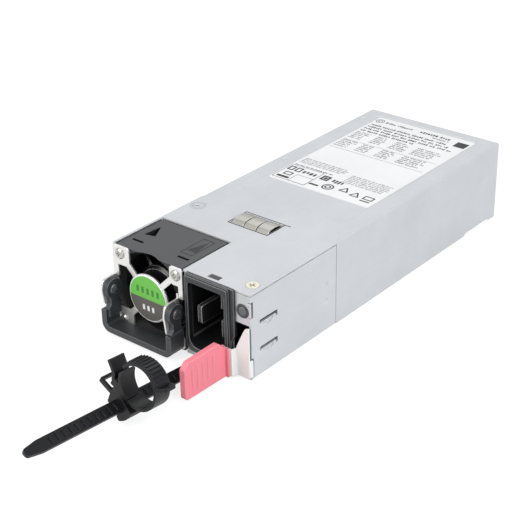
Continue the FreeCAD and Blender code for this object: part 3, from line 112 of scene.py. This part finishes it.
sheet_of_paper = bmesh.new()
bmesh.ops.create_grid(sheet_of_paper, x_segments=1, y_segments=1, size=6.0)
bmesh.ops.translate(sheet_of_paper, vec=(0, 0, -0.0001), verts=sheet_of_paper.verts)
paper_mesh = bpy.data.meshes.new("paper")
sheet_of_paper.to_mesh(paper_mesh)
sheet_of_paper.free()
paper_mesh.materials.append(paper_material)
paper = bpy.data.objects.new("paper", paper_mesh)
bpy.context.scene.collection.objects.link(paper)

for place, aim, width, watts, tint in (
        ((-0.30, -1.00, 0.62), (0, -0.05, 0.01), 0.7, 9.3, (1.0, 0.99, 0.97)),
        ((1.05, -0.10, 0.55), (0, 0, 0.02), 0.9, 11.4, (0.95, 0.97, 1.0)),
        ((-0.6, 0.9, 1.0), (0, 0, 0), 0.8, 2.2, (1.0, 1.0, 1.0))):
    box = bpy.data.lights.new("softbox", "AREA")
    box.shape = "SQUARE"
    box.size = width
    box.energy = watts
    box.color = tint
    lamp = bpy.data.objects.new("softbox", box)
    lamp.location = place
    lamp.rotation_euler = (Vector(place) - Vector(aim)).to_track_quat("Z", "Y").to_euler()
    bpy.context.scene.collection.objects.link(lamp)


# ---- case
# Tray and cover are folded from zinc-plated steel about a millimetre thick.  Rolling leaves a faint grain
# along the sheet, and the sheared edges are painted a little brighter than the faces, as wear and as a
# painted highlight.
def shader_effect(name, inputs, outputs):
    """An empty shader effect with named inputs, each with a value, and named outputs."""
    effect = bpy.data.node_groups.new(name, "ShaderNodeTree")
    for label, value in inputs.items():
        socket = effect.interface.new_socket(label, in_out="INPUT", socket_type="NodeSocketFloat")
        socket.default_value = value
    for label, kind in outputs.items():
        effect.interface.new_socket(label, in_out="OUTPUT", socket_type="NodeSocket" + kind)
    return effect, effect.nodes.new("NodeGroupInput"), effect.nodes.new("NodeGroupOutput")


def use_effect(tree, effect, **sockets):
    """Places a shared effect in a material, with its constants."""
    group = tree.nodes.new("ShaderNodeGroup")
    group.node_tree = effect
    for name, value in sockets.items():
        group.inputs[name.capitalize()].default_value = value
    return group


# Rounded edges: bends the normal over sharp edges and marks them.
edge_effect, given, made = shader_effect("rounded_edges", {"Radius": 0.0003},
                                         {"Normal": "Vector", "Edge": "Float"})
bend = add_node(edge_effect, "Bevel", {"Radius": given.outputs["Radius"]}, samples=6)
flat = add_node(edge_effect, "NewGeometry")
turned = add_node(edge_effect, "VectorMath", {0: bend.outputs[0], 1: flat.outputs["Normal"]},
                  operation="DOT_PRODUCT")
edge = add_node(edge_effect, "MapRange", {"Value": turned.outputs["Value"], "From Min": 0.995,
                                          "From Max": 0.80})
edge_effect.links.new(bend.outputs[0], made.inputs["Normal"])
edge_effect.links.new(edge.outputs[0], made.inputs["Edge"])

# Rolled grain: long faint streaks and a soft cloud, read from the place on the piece.
grain_effect, given, made = shader_effect("rolled_grain", {"Fineness": 900.0},
                                          {"Streak": "Float", "Cloud": "Float"})
where = add_node(grain_effect, "TexCoord")
stretched = add_node(grain_effect, "Mapping", {"Vector": where.outputs["Object"], "Scale": (1.0, 0.03, 1.0)})
streak = add_node(grain_effect, "TexNoise", {"Vector": stretched.outputs[0],
                                             "Scale": given.outputs["Fineness"],
                                             "Detail": 3.0, "Roughness": 0.6})
cloud = add_node(grain_effect, "TexNoise", {"Vector": where.outputs["Object"], "Scale": 30.0, "Detail": 6.0,
                                            "Roughness": 0.7})
grain_effect.links.new(streak.outputs["Fac"], made.inputs["Streak"])
grain_effect.links.new(cloud.outputs["Fac"], made.inputs["Cloud"])


def new_material(name):
    """An empty material and its node tree."""
    material = bpy.data.materials.new(name)
    material.use_nodes = True
    material.node_tree.nodes.clear()
    return material, material.node_tree


def blend_colours(tree, share, first, second):
    """A share of the second colour over the first; each is a colour or a node's output."""
    mix = add_node(tree, "Mix", {"Factor": share}, data_type="RGBA")
    sockets = [socket for socket in mix.inputs if socket.type == "RGBA"]
    for socket, colour in zip(sockets, (first, second)):
        if isinstance(colour, bpy.types.NodeSocket):
            tree.links.new(colour, socket)
        else:
            socket.default_value = colour
    return next(socket for socket in mix.outputs if socket.type == "RGBA")


def finish_surface(tree, colour, roughness, metallic, normal, **constants):
    """Ends a material in a Principled shader; further constants go by socket name."""
    shader = add_node(tree, "BsdfPrincipled", {"Base Color": colour, "Roughness": roughness,
                                               "Metallic": metallic, "Normal": normal})
    for name, value in constants.items():
        shader.inputs[name.replace("_", " ")].default_value = value
    add_node(tree, "OutputMaterial", {"Surface": shader.outputs[0]})


def paint_shade(tree, tone, axis, test, limit, shade):
    """Painted shade: a dark colour on one side of a plane, told by the place on the piece."""
    where = add_node(tree, "TexCoord")
    split = add_node(tree, "SeparateXYZ", {"Vector": where.outputs["Object"]})
    beyond = add_node(tree, "Math", {0: split.outputs[axis], 1: limit}, operation=test)
    return blend_colours(tree, beyond.outputs[0], tone, shade)


def sheet_metal(name, colour, dark, roughness, metallic, fineness=900.0, edge_gain=0.5, radius=0.0003,
                edge_colour=None, shade_behind=None):
    """Plated sheet: dark and light tones clouded, streaked gloss, edges brightened as wear and painted
    highlight.
    """
    material, tree = new_material(name)
    grain = use_effect(tree, grain_effect, fineness=fineness)
    edges = use_effect(tree, edge_effect, radius=radius)
    tone = blend_colours(tree, grain.outputs["Cloud"], dark, colour)
    edge_share = add_node(tree, "Math", {0: edges.outputs["Edge"], 1: edge_gain}, operation="MULTIPLY")
    bright = edge_colour or tuple(min(1.0, part * 1.2 + 0.05) for part in colour[:3]) + (1,)
    tone = blend_colours(tree, edge_share.outputs[0], tone, bright)
    # Painted shade: with a plane given, the sheet is painted near black behind it.
    if shade_behind is not None:
        tone = paint_shade(tree, tone, "Y", "GREATER_THAN", shade_behind, (0.045, 0.045, 0.047, 1))
    gloss = add_node(tree, "MapRange", {"Value": grain.outputs["Streak"], "From Min": 0.3, "From Max": 0.7,
                                        "To Min": roughness - 0.05, "To Max": roughness + 0.06})
    bump = add_node(tree, "Bump", {"Height": grain.outputs["Streak"], "Normal": edges.outputs["Normal"],
                                   "Strength": 0.04, "Distance": 0.0001})
    finish_surface(tree, tone, gloss.outputs[0], metallic, bump.outputs[0])
    return material


def dress(material, *names):
    """Gives carried-over nodes their finish."""
    for name in names:
        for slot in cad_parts[name].material_slots:
            slot.material = material


def new_piece(name, mesh_builder, body, record_slot, *materials):
    """Turns a filled bmesh into a named piece that moves with one body."""
    mesh = bpy.data.meshes.new(name)
    mesh_builder.to_mesh(mesh)
    mesh_builder.free()
    for material in materials:
        mesh.materials.append(material)
    piece = bpy.data.objects.new(name, mesh)
    bpy.context.scene.collection.objects.link(piece)
    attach(piece, body)


case_steel = sheet_metal("zinc_plated_sheet", (0.625, 0.635, 0.645, 1), (0.485, 0.495, 0.51, 1), 0.52, 0.4,
                         edge_gain=0.7)
dress(case_steel, "chassis", "top_cover", "rear_panel", "board_standoffs")
zinc = sheet_metal("yellow_zinc", (0.80, 0.77, 0.64, 1), (0.62, 0.59, 0.48, 1), 0.34, 0.8)
dress(zinc, "cover_screw", "board_screws", "fan_shaft")

case_low, case_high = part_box("top_cover")
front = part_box("chassis")[0].y
mm = 0.001
print_lift = 0.02 * mm


def add_ring(shape, centre, inner, outer, steps=40):
    """A flat, level ring about a centre; gives back its corners."""
    rims = []
    for radius in (inner, outer):
        rims.append([shape.verts.new(Vector((radius * math.cos(step * math.tau / steps),
                                             radius * math.sin(step * math.tau / steps), 0)))
                     for step in range(steps)])
    for step in range(steps):
        after = (step + 1) % steps
        shape.faces.new((rims[0][step], rims[1][step], rims[1][after], rims[0][after]))
    corners = rims[0] + rims[1]
    bmesh.ops.translate(shape, vec=centre, verts=corners)
    return corners


# Two fine rings and a short bar are stamped into the cover beside its left edge.
stamp = bmesh.new()
stamp_middle = Vector((case_low.x + 5.2 * mm, front + 47.0 * mm, case_high.z + print_lift))
add_ring(stamp, stamp_middle, 3.2 * mm, 3.5 * mm)
add_ring(stamp, stamp_middle, 2.3 * mm, 2.5 * mm)
bar = bmesh.ops.create_grid(stamp, x_segments=1, y_segments=1, size=0.5)["verts"]
bmesh.ops.scale(stamp, vec=(2.4 * mm, 0.6 * mm, 1), verts=bar)
bmesh.ops.translate(stamp, vec=stamp_middle, verts=bar)
# Painted shade: the rings and bar are flat dark marks just above the cover, standing in for the shade in the
# stamped grooves.
stamp_shade = sheet_metal("painted_stamp_shade", (0.36, 0.38, 0.42, 1), (0.30, 0.32, 0.35, 1), 0.5, 0.5)
new_piece("cover_stamp", stamp, "case", "galvanised_steel", stamp_shade)

# ---- plastics
# Mouldings have a fine sparkle of texture, and edges tinted as wear and as painted highlight.
texture_effect, given, made = shader_effect("moulded_texture", {"Fineness": 5200.0}, {"Height": "Float"})
where = add_node(texture_effect, "TexCoord")
spark = add_node(texture_effect, "TexNoise", {"Vector": where.outputs["Object"],
                                              "Scale": given.outputs["Fineness"], "Detail": 2.0})
texture_effect.links.new(spark.outputs["Fac"], made.inputs["Height"])


def moulding(name, colour, edge_colour, roughness, fineness=5200.0, radius=0.0004, relief=0.15,
             shade_below=None, **constants):
    """Moulded plastic: clouded tone, edges tinted as wear and as painted highlight, fine grain in gloss and
    height.
    """
    material, tree = new_material(name)
    texture = use_effect(tree, texture_effect, fineness=fineness)
    grain = use_effect(tree, grain_effect, fineness=400.0)
    edges = use_effect(tree, edge_effect, radius=radius)
    dark = tuple(part * 0.8 for part in colour[:3]) + (1,)
    tone = blend_colours(tree, grain.outputs["Cloud"], dark, colour)
    tone = blend_colours(tree, edges.outputs["Edge"], tone, edge_colour)
    # Painted shade: with a height given, the moulding is painted near black below it.
    if shade_below is not None:
        tone = paint_shade(tree, tone, "Z", "LESS_THAN", shade_below, (0.012, 0.012, 0.013, 1))
    gloss = add_node(tree, "MapRange", {"Value": texture.outputs["Height"], "From Min": 0.3, "From Max": 0.7,
                                        "To Min": roughness - 0.06, "To Max": roughness + 0.08})
    bump = add_node(tree, "Bump", {"Height": texture.outputs["Height"], "Normal": edges.outputs["Normal"],
                                   "Strength": relief, "Distance": 0.00005})
    finish_surface(tree, tone, gloss.outputs[0], 0.0, bump.outputs[0], **constants)
    return material


# ---- fan
# The fan's frame is filled nylon, matt and dark grey, with a nearly black rotor inside.
fan_low, fan_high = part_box("fan_frame")
# Painted shade: the frame is painted near black below a plane just under its top face.
frame_grey = moulding("fan_grey_moulding", (0.062, 0.062, 0.066, 1), (0.12, 0.12, 0.125, 1), 0.5,
                      shade_below=fan_high.z - 0.12 * mm)
dress(frame_grey, "fan_frame")
# Painted highlight: the rotor's blade edges are painted pale grey.
rotor_black = moulding("rotor_moulding", (0.008, 0.008, 0.009, 1), (0.75, 0.75, 0.77, 1), 0.24, radius=0.0003)
dress(rotor_black, "fan_rotor")

# Painted shade: the dark gap beside the frame's top, and the scored outline and facet of its lid panel.
fan_lines = bmesh.new()
line_height = fan_high.z + print_lift


def fan_patch(*corners):
    """A flat shape just above the frame's top, from places across and behind the case's front in mm."""
    fan_lines.faces.new([fan_lines.verts.new((x * mm, front + y * mm, line_height)) for x, y in corners])


fan_left, fan_right = fan_low.x / mm, fan_high.x / mm
fan_patch((fan_left + 0.1, 1.0), (fan_left + 0.75, 1.0), (fan_left + 0.75, 27.6), (fan_left + 0.1, 27.6))
panel_left, panel_right = fan_right - 11.2, fan_right - 4.8
for near, far in ((10.4, 11.0), (24.6, 25.2)):
    fan_patch((panel_left, near), (panel_right, near), (panel_right, far), (panel_left, far))
for left in (panel_left, panel_right - 0.5):
    fan_patch((left, 11.0), (left + 0.5, 11.0), (left + 0.5, 24.6), (left, 24.6))
fan_patch((panel_left + 0.9, 13.4), (panel_right - 0.7, 13.6), (panel_left + 4.4, 23.6))
# Painted shade: a near-black finish for the gap and the panel's scored lines and facet.
painted_gap_shade = moulding("painted_gap_shade", (0.010, 0.010, 0.011, 1), (0.02, 0.02, 0.02, 1), 0.5)
new_piece("fan_top_lines", fan_lines, "case", "fan_grey_plastic", painted_gap_shade)

# Guard: a bright stamped sheet with rubbed edges, held by four zinc screws.
guard_steel = sheet_metal("guard_sheet", (0.80, 0.79, 0.77, 1), (0.68, 0.67, 0.65, 1), 0.33, 0.75,
                          edge_gain=0.9)
dress(guard_steel, "fan_guard")
dress(sheet_metal("fan_screw_zinc", (0.62, 0.62, 0.58, 1), (0.40, 0.40, 0.37, 1), 0.3, 0.9), "fan_screws")
dress(sheet_metal("rivet_steel", (0.20, 0.21, 0.22, 1), (0.12, 0.12, 0.13, 1), 0.28, 0.8), "handle_rivets")

# Badge: printed film, green above and warm grey below, with a white rim and plain bars for its print.
badge_low, badge_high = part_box("fan_badge")
badge_middle = (badge_low + badge_high) / 2
badge_radius = (badge_high.x - badge_low.x) / 2
badge_film, tree = new_material("badge_film")
where = add_node(tree, "TexCoord")
offset = add_node(tree, "VectorMath", {0: where.outputs["Object"], 1: tuple(badge_middle)},
                  operation="SUBTRACT")
split = add_node(tree, "SeparateXYZ", {"Vector": offset.outputs[0]})
rim_width = 0.0004
upper = add_node(tree, "Math", {0: split.outputs["Z"], 1: -0.0004}, operation="GREATER_THAN")
tone = blend_colours(tree, upper.outputs[0], (0.085, 0.078, 0.070, 1), (0.13, 0.46, 0.06, 1))
flat_offset = add_node(tree, "VectorMath", {0: offset.outputs[0], 1: (1, 0, 1)}, operation="MULTIPLY")
reach = add_node(tree, "VectorMath", {0: flat_offset.outputs[0]}, operation="LENGTH")
rim = add_node(tree, "Math", {0: reach.outputs["Value"], 1: badge_radius - rim_width},
               operation="GREATER_THAN")
tone = blend_colours(tree, rim.outputs[0], tone, (0.80, 0.82, 0.80, 1))
texture = use_effect(tree, texture_effect, fineness=3000.0)
bump = add_node(tree, "Bump", {"Height": texture.outputs["Height"], "Strength": 0.08, "Distance": 0.00005})
finish_surface(tree, tone, 0.42, 0.0, bump.outputs[0])
dress(badge_film, "fan_badge")

badge_print = bmesh.new()
green_ink = moulding("green_ink", (0.035, 0.22, 0.02, 1), (0.05, 0.26, 0.03, 1), 0.45)
white_ink = moulding("white_ink", (0.80, 0.80, 0.78, 1), (0.82, 0.82, 0.80, 1), 0.45)
GREEN_INK, WHITE_INK = 0, 1
bar_width = 1.3 * mm
for height, tall, places, ink in ((3.3, 2.9, (-5.6, -2.8, 0.0, 2.8, 5.6), GREEN_INK),
                                  (-4.6, 2.4, (-2.6, 0.0, 2.6), WHITE_INK)):
    for place in places:
        bar = bmesh.ops.create_grid(badge_print, x_segments=1, y_segments=1, size=0.5)["verts"]
        bmesh.ops.scale(badge_print, vec=(bar_width, tall * mm, 1), verts=bar)
        bmesh.ops.rotate(badge_print, matrix=Matrix.Rotation(math.pi / 2, 3, "X"), verts=bar)
        bmesh.ops.translate(badge_print, verts=bar, vec=(
            badge_middle.x + place * mm, badge_low.y - print_lift, badge_middle.z + height * mm))
        for face in {face for corner in bar for face in corner.link_faces}:
            face.material_index = ink
new_piece("badge_print", badge_print, "case", "badge_film", green_ink, white_ink)

# ---- handle
# The bail is satin glass-filled nylon, painted a little paler along its edges: some wear, and a painted
# highlight.
handle_grey = moulding("handle_moulding", (0.028, 0.031, 0.034, 1), (0.17, 0.18, 0.19, 1), 0.42,
                       radius=0.0005)
dress(handle_grey, "handle")

# ---- mains inlet
# The inlet is a glossy black moulding; the lighter grey on its rim edges is a painted reflection.  Its pins
# are drawn dark with bright edges: painted shade, for the shade of the cavity they stand in, and painted
# highlights along their edges.
inlet_black = moulding("inlet_moulding", (0.014, 0.015, 0.016, 1), (0.22, 0.23, 0.235, 1), 0.30,
                       radius=0.0008)
dress(inlet_black, "inlet_housing")
pin_metal = sheet_metal("pin_nickel", (0.045, 0.045, 0.047, 1), (0.02, 0.02, 0.02, 1), 0.3, 0.3,
                        edge_gain=1.0, radius=0.0005, edge_colour=(0.95, 0.95, 0.93, 1))
dress(pin_metal, "inlet_pins")
bezel_black = moulding("bezel_moulding", (0.05, 0.052, 0.056, 1), (0.015, 0.015, 0.016, 1), 0.3,
                       radius=0.0005)
dress(bezel_black, "led_bezel")
# Painted highlight: the light pipe's edges are painted a lighter grey.
pipe_grey = moulding("light_pipe", (0.10, 0.105, 0.11, 1), (0.50, 0.52, 0.54, 1), 0.14, radius=0.0005)
dress(pipe_grey, "led_light_pipe")

# ---- release latch
# Spring steel with a dull warm nickel plating, and a soft pink grip moulded on its tongue.
# Painted shade: the leaf is painted near black behind a plane 1 mm inside the case's front.
latch_nickel = sheet_metal("latch_nickel", (0.80, 0.80, 0.79, 1), (0.74, 0.735, 0.72, 1), 0.6, 0.2,
                           edge_gain=0.7, shade_behind=front + 1.0 * mm)
dress(latch_nickel, "latch_spring")
# Painted highlight: the grip's edges are painted a lighter pink.
pink = moulding("grip_pink", (0.90, 0.235, 0.285, 1), (0.93, 0.38, 0.42, 1), 0.5, radius=0.0006)
dress(pink, "latch_grip")

# ---- strap and cable clamp
# One black nylon for the strap, the carriage, the ring and its lever, with edges rubbed a little paler.
nylon = moulding("strap_nylon", (0.006, 0.006, 0.007, 1), (0.040, 0.041, 0.044, 1), 0.4, radius=0.0003,
                 Specular_IOR_Level=0.3)
dress(nylon, "strap", "strap_root", "clamp_base", "clamp_seat", "clamp_band", "clamp_lever")

# ---- grounding spring
# Three thin sprung fingers.  The metal is a guess: warm grey plating with brighter edges.
spring_tin = sheet_metal("spring_tin", (0.52, 0.505, 0.46, 1), (0.40, 0.385, 0.34, 1), 0.36, 0.7,
                         fineness=2600.0, edge_gain=1.0, radius=0.0005)
dress(spring_tin, "grounding_spring")

# Painted shade: a black line round the slot that the fingers stand in, longer on the side toward the rear.
slot_edge = bmesh.new()
slot_height = case_high.z + print_lift


def edge_strip(left, low, right, high):
    """A flat strip just above the cover, given by its corners in metres."""
    slot_edge.faces.new([slot_edge.verts.new((x, y, slot_height))
                         for x, y in ((left, low), (right, low), (right, high), (left, high))])


slot_left, slot_right = -10.5 * mm, 10.1 * mm
slot_front, slot_back = front + 43.1 * mm, front + 54.7 * mm
line = 0.55 * mm
edge_strip(slot_left - line, slot_front - line, slot_right + line, slot_front)
edge_strip(slot_left - line, slot_back, slot_right + 3.2 * mm, slot_back + line)
edge_strip(slot_left - line, slot_front, slot_left, slot_back)
edge_strip(slot_right, slot_front, slot_right + line, slot_back)
# Painted shade: a near-black finish for the line round the slot.
slot_shade = moulding("painted_slot_shade", (0.010, 0.010, 0.011, 1), (0.02, 0.02, 0.02, 1), 0.5)
new_piece("slot_edge", slot_edge, "case", "galvanised_steel", slot_shade)

# ---- rating label
# Matt white film with small grey and black print.  The print is plain bars and boxes, set out in the same
# blocks as a real rating label: a heading, four bold lines, two tables, two notes and a row of marks.
label_film = moulding("label_film", (0.80, 0.80, 0.795, 1), (0.83, 0.83, 0.83, 1), 0.5,
                      radius=0.0002, relief=0.05)
dress(label_film, "rating_label")
print_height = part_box("rating_label")[1].z + 0.015 * mm
label_print = bmesh.new()
chance = random.Random(7)
BLACK_INK, GREY_INK = 0, 1
stroke_gap, word_gap = 0.35, 0.9  # in widths of a stroke


def print_box(left, low, right, high, ink):
    """A printed box; left and right are across the case, low and high behind the case's front."""
    corners = [label_print.verts.new((x * mm, front + y * mm, print_height))
               for x, y in ((left, low), (right, low), (right, high), (left, high))]
    label_print.faces.new(corners).material_index = ink


def print_outline(left, low, right, high, line, ink):
    """The outline of a box, drawn as four bars."""
    print_box(left, low, right, low + line, ink)
    print_box(left, high - line, right, high, ink)
    print_box(left, low + line, left + line, high - line, ink)
    print_box(right - line, low + line, right, high - line, ink)


def print_line(left, right, low, tall, ink, letter):
    """A line of words, each a run of short strokes of uneven height."""
    place = left
    while place < right:
        for _ in range(chance.randint(3, 8)):
            wide = letter * chance.uniform(0.55, 1.0)
            if place + wide > right:
                break
            print_box(place, low + tall * chance.choice((0.0, 0.0, 0.2)), place + wide,
                      low + tall * chance.choice((0.72, 0.86, 1.0)), ink)
            place += wide + letter * stroke_gap
        place += letter * word_gap


# heading: round mark, pale word, bold word over a small one, solid square
for reach in (2.3, 1.3):
    ring = add_ring(label_print, Vector((-24.0 * mm, front + 174.2 * mm, print_height)),
                    (reach - 0.45) * mm, reach * mm)
    for face in {face for corner in ring for face in corner.link_faces}:
        face.material_index = GREY_INK
print_line(-20.5, -3.5, 173.2, 1.9, GREY_INK, 1.1)
print_line(-0.5, 16.5, 173.4, 2.0, BLACK_INK, 1.3)
print_line(8.0, 17.0, 171.0, 1.1, BLACK_INK, 0.8)
print_box(20.8, 168.8, 27.0, 174.6, BLACK_INK)
# four bold lines
for low, right in ((167.6, 17.5), (164.7, 20.5), (161.8, 24.5), (158.9, 5.0)):
    print_line(-25.5, right, low, 1.7, BLACK_INK, 1.0)
# two tables of small print in four columns, ruled off
for top, rule in ((156.2, 146.0), (144.4, 134.6)):
    for row in range(5):
        for left, right in ((-25.5, -16.0), (-13.5, -5.5), (-2.5, 6.5), (9.5, 23.5)):
            print_line(left, right - chance.uniform(0.0, 3.0), top - 1.9 * row, 1.15, GREY_INK, 0.75)
    print_box(-26.0, rule, 26.5, rule + 0.22, GREY_INK)
# note at the left, note at the right
for row in range(4):
    print_line(-25.5, 0.0 - chance.uniform(0.0, 2.0), 115.4 - 1.55 * row, 0.8, GREY_INK, 0.55)
print_line(-25.5, -3.0, 107.4, 1.0, BLACK_INK, 0.7)
for row in range(6):
    print_line(3.5, 26.5 - chance.uniform(0.0, 2.0), 112.2 - 1.55 * row, 0.8, GREY_INK, 0.55)
# row of marks: plain bars, boxes and rings
print_outline(-26.4, 91.2, -8.0, 107.0, 0.35, GREY_INK)
print_outline(-17.5, 91.2, -8.0, 98.8, 0.3, GREY_INK)
print_box(-25.0, 92.6, -18.4, 94.4, BLACK_INK)
print_outline(-23.8, 95.8, -19.4, 99.2, 0.7, BLACK_INK)
for left in (-25.4, -21.4):
    print_outline(left, 101.0, left + 3.2, 105.4, 0.8, BLACK_INK)
print_line(-17.0, -9.0, 101.4, 3.6, BLACK_INK, 1.9)
print_outline(-6.8, 100.8, -2.4, 105.6, 1.1, BLACK_INK)
print_box(-5.4, 102.2, -3.8, 104.2, BLACK_INK)
print_box(-7.6, 94.0, -2.6, 95.4, BLACK_INK)
print_line(-0.6, 5.6, 101.2, 3.2, BLACK_INK, 1.6)
for reach in (2.9, 1.6):
    add_ring(label_print, Vector((1.6 * mm, front + 96.4 * mm, print_height)),
             (reach - 0.7) * mm, reach * mm)
for left in (7.4, 14.0):
    # a triangle mark: three bars round a point
    for turn in range(3):
        bar = bmesh.ops.create_grid(label_print, x_segments=1, y_segments=1, size=0.5)["verts"]
        bmesh.ops.scale(label_print, vec=(4.6 * mm, 0.7 * mm, 1), verts=bar)
        bmesh.ops.translate(label_print, vec=(0, -1.25 * mm, 0), verts=bar)
        bmesh.ops.rotate(label_print, matrix=Matrix.Rotation(turn * math.tau / 3, 3, "Z"), verts=bar)
        bmesh.ops.translate(label_print, verts=bar,
                            vec=((left + 2.2) * mm, front + (99.4 - 0.2 * left) * mm, print_height))
print_outline(20.6, 95.4, 25.8, 99.0, 0.7, BLACK_INK)
print_box(20.6, 93.4, 25.8, 94.3, BLACK_INK)
black_ink = moulding("black_ink", (0.015, 0.015, 0.017, 1), (0.05, 0.05, 0.05, 1), 0.5)
grey_ink = moulding("grey_ink", (0.11, 0.11, 0.115, 1), (0.14, 0.14, 0.14, 1), 0.5)
new_piece("label_print", label_print, "case", "label_paper", black_ink, grey_ink)

# ---- inside
# What the vents, the inlet and the grounding slot let a glance reach: a green board and its parts.
component = moulding("component_black", (0.012, 0.012, 0.014, 1), (0.10, 0.105, 0.11, 1), 0.38)
dress(component, "relay", "bridge_rectifier", "power_transistors", "output_transistors", "control_chips",
      "transformer_base", "fan_socket")
board_green = moulding("solder_mask", (0.02, 0.13, 0.05, 1), (0.10, 0.25, 0.12, 1), 0.25)
dress(board_green, "main_board", "inlet_board", "led_board", "control_board")
gold = sheet_metal("gold_flash", (0.85, 0.60, 0.20, 1), (0.75, 0.5, 0.15, 1), 0.25, 1.0)
dress(gold, "edge_contacts")
copper_bar = sheet_metal("bare_copper_bar", (0.72, 0.36, 0.22, 1), (0.55, 0.26, 0.15, 1), 0.35, 1.0)
dress(copper_bar, "output_busbars")
copper = moulding("enamelled_copper", (0.45, 0.14, 0.03, 1), (0.6, 0.25, 0.1, 1), 0.25)
dress(copper, "transformer_winding", "pfc_choke", "emi_choke", "fan_stator")
lead_red = moulding("lead_insulation", (0.42, 0.02, 0.02, 1), (0.55, 0.08, 0.07, 1), 0.4)
dress(lead_red, "fan_lead")
sleeve = moulding("can_sleeve", (0.01, 0.015, 0.04, 1), (0.1, 0.1, 0.12, 1), 0.2)
dress(sleeve, "bulk_capacitors", "output_capacitors")
film = moulding("insulator_film", (0.33, 0.30, 0.22, 1), (0.45, 0.42, 0.33, 1), 0.3)
dress(film, "insulator_sheet")
ferrite = moulding("sintered_ferrite", (0.045, 0.045, 0.047, 1), (0.10, 0.10, 0.10, 1), 0.55, relief=0.3)
dress(ferrite, "transformer_core", "fan_magnet")
tin = sheet_metal("tinned_brass", (0.60, 0.60, 0.58, 1), (0.46, 0.46, 0.44, 1), 0.35, 0.9)
dress(tin, "fuse", "fuse_clips")
sink = sheet_metal("extruded_aluminium", (0.62, 0.63, 0.64, 1), (0.5, 0.51, 0.52, 1), 0.4, 0.9)
dress(sink, "primary_heatsink", "secondary_heatsink")
yellow = moulding("yellow_box", (0.75, 0.50, 0.04, 1), (0.8, 0.6, 0.1, 1), 0.3)
dress(yellow, "x_capacitor")
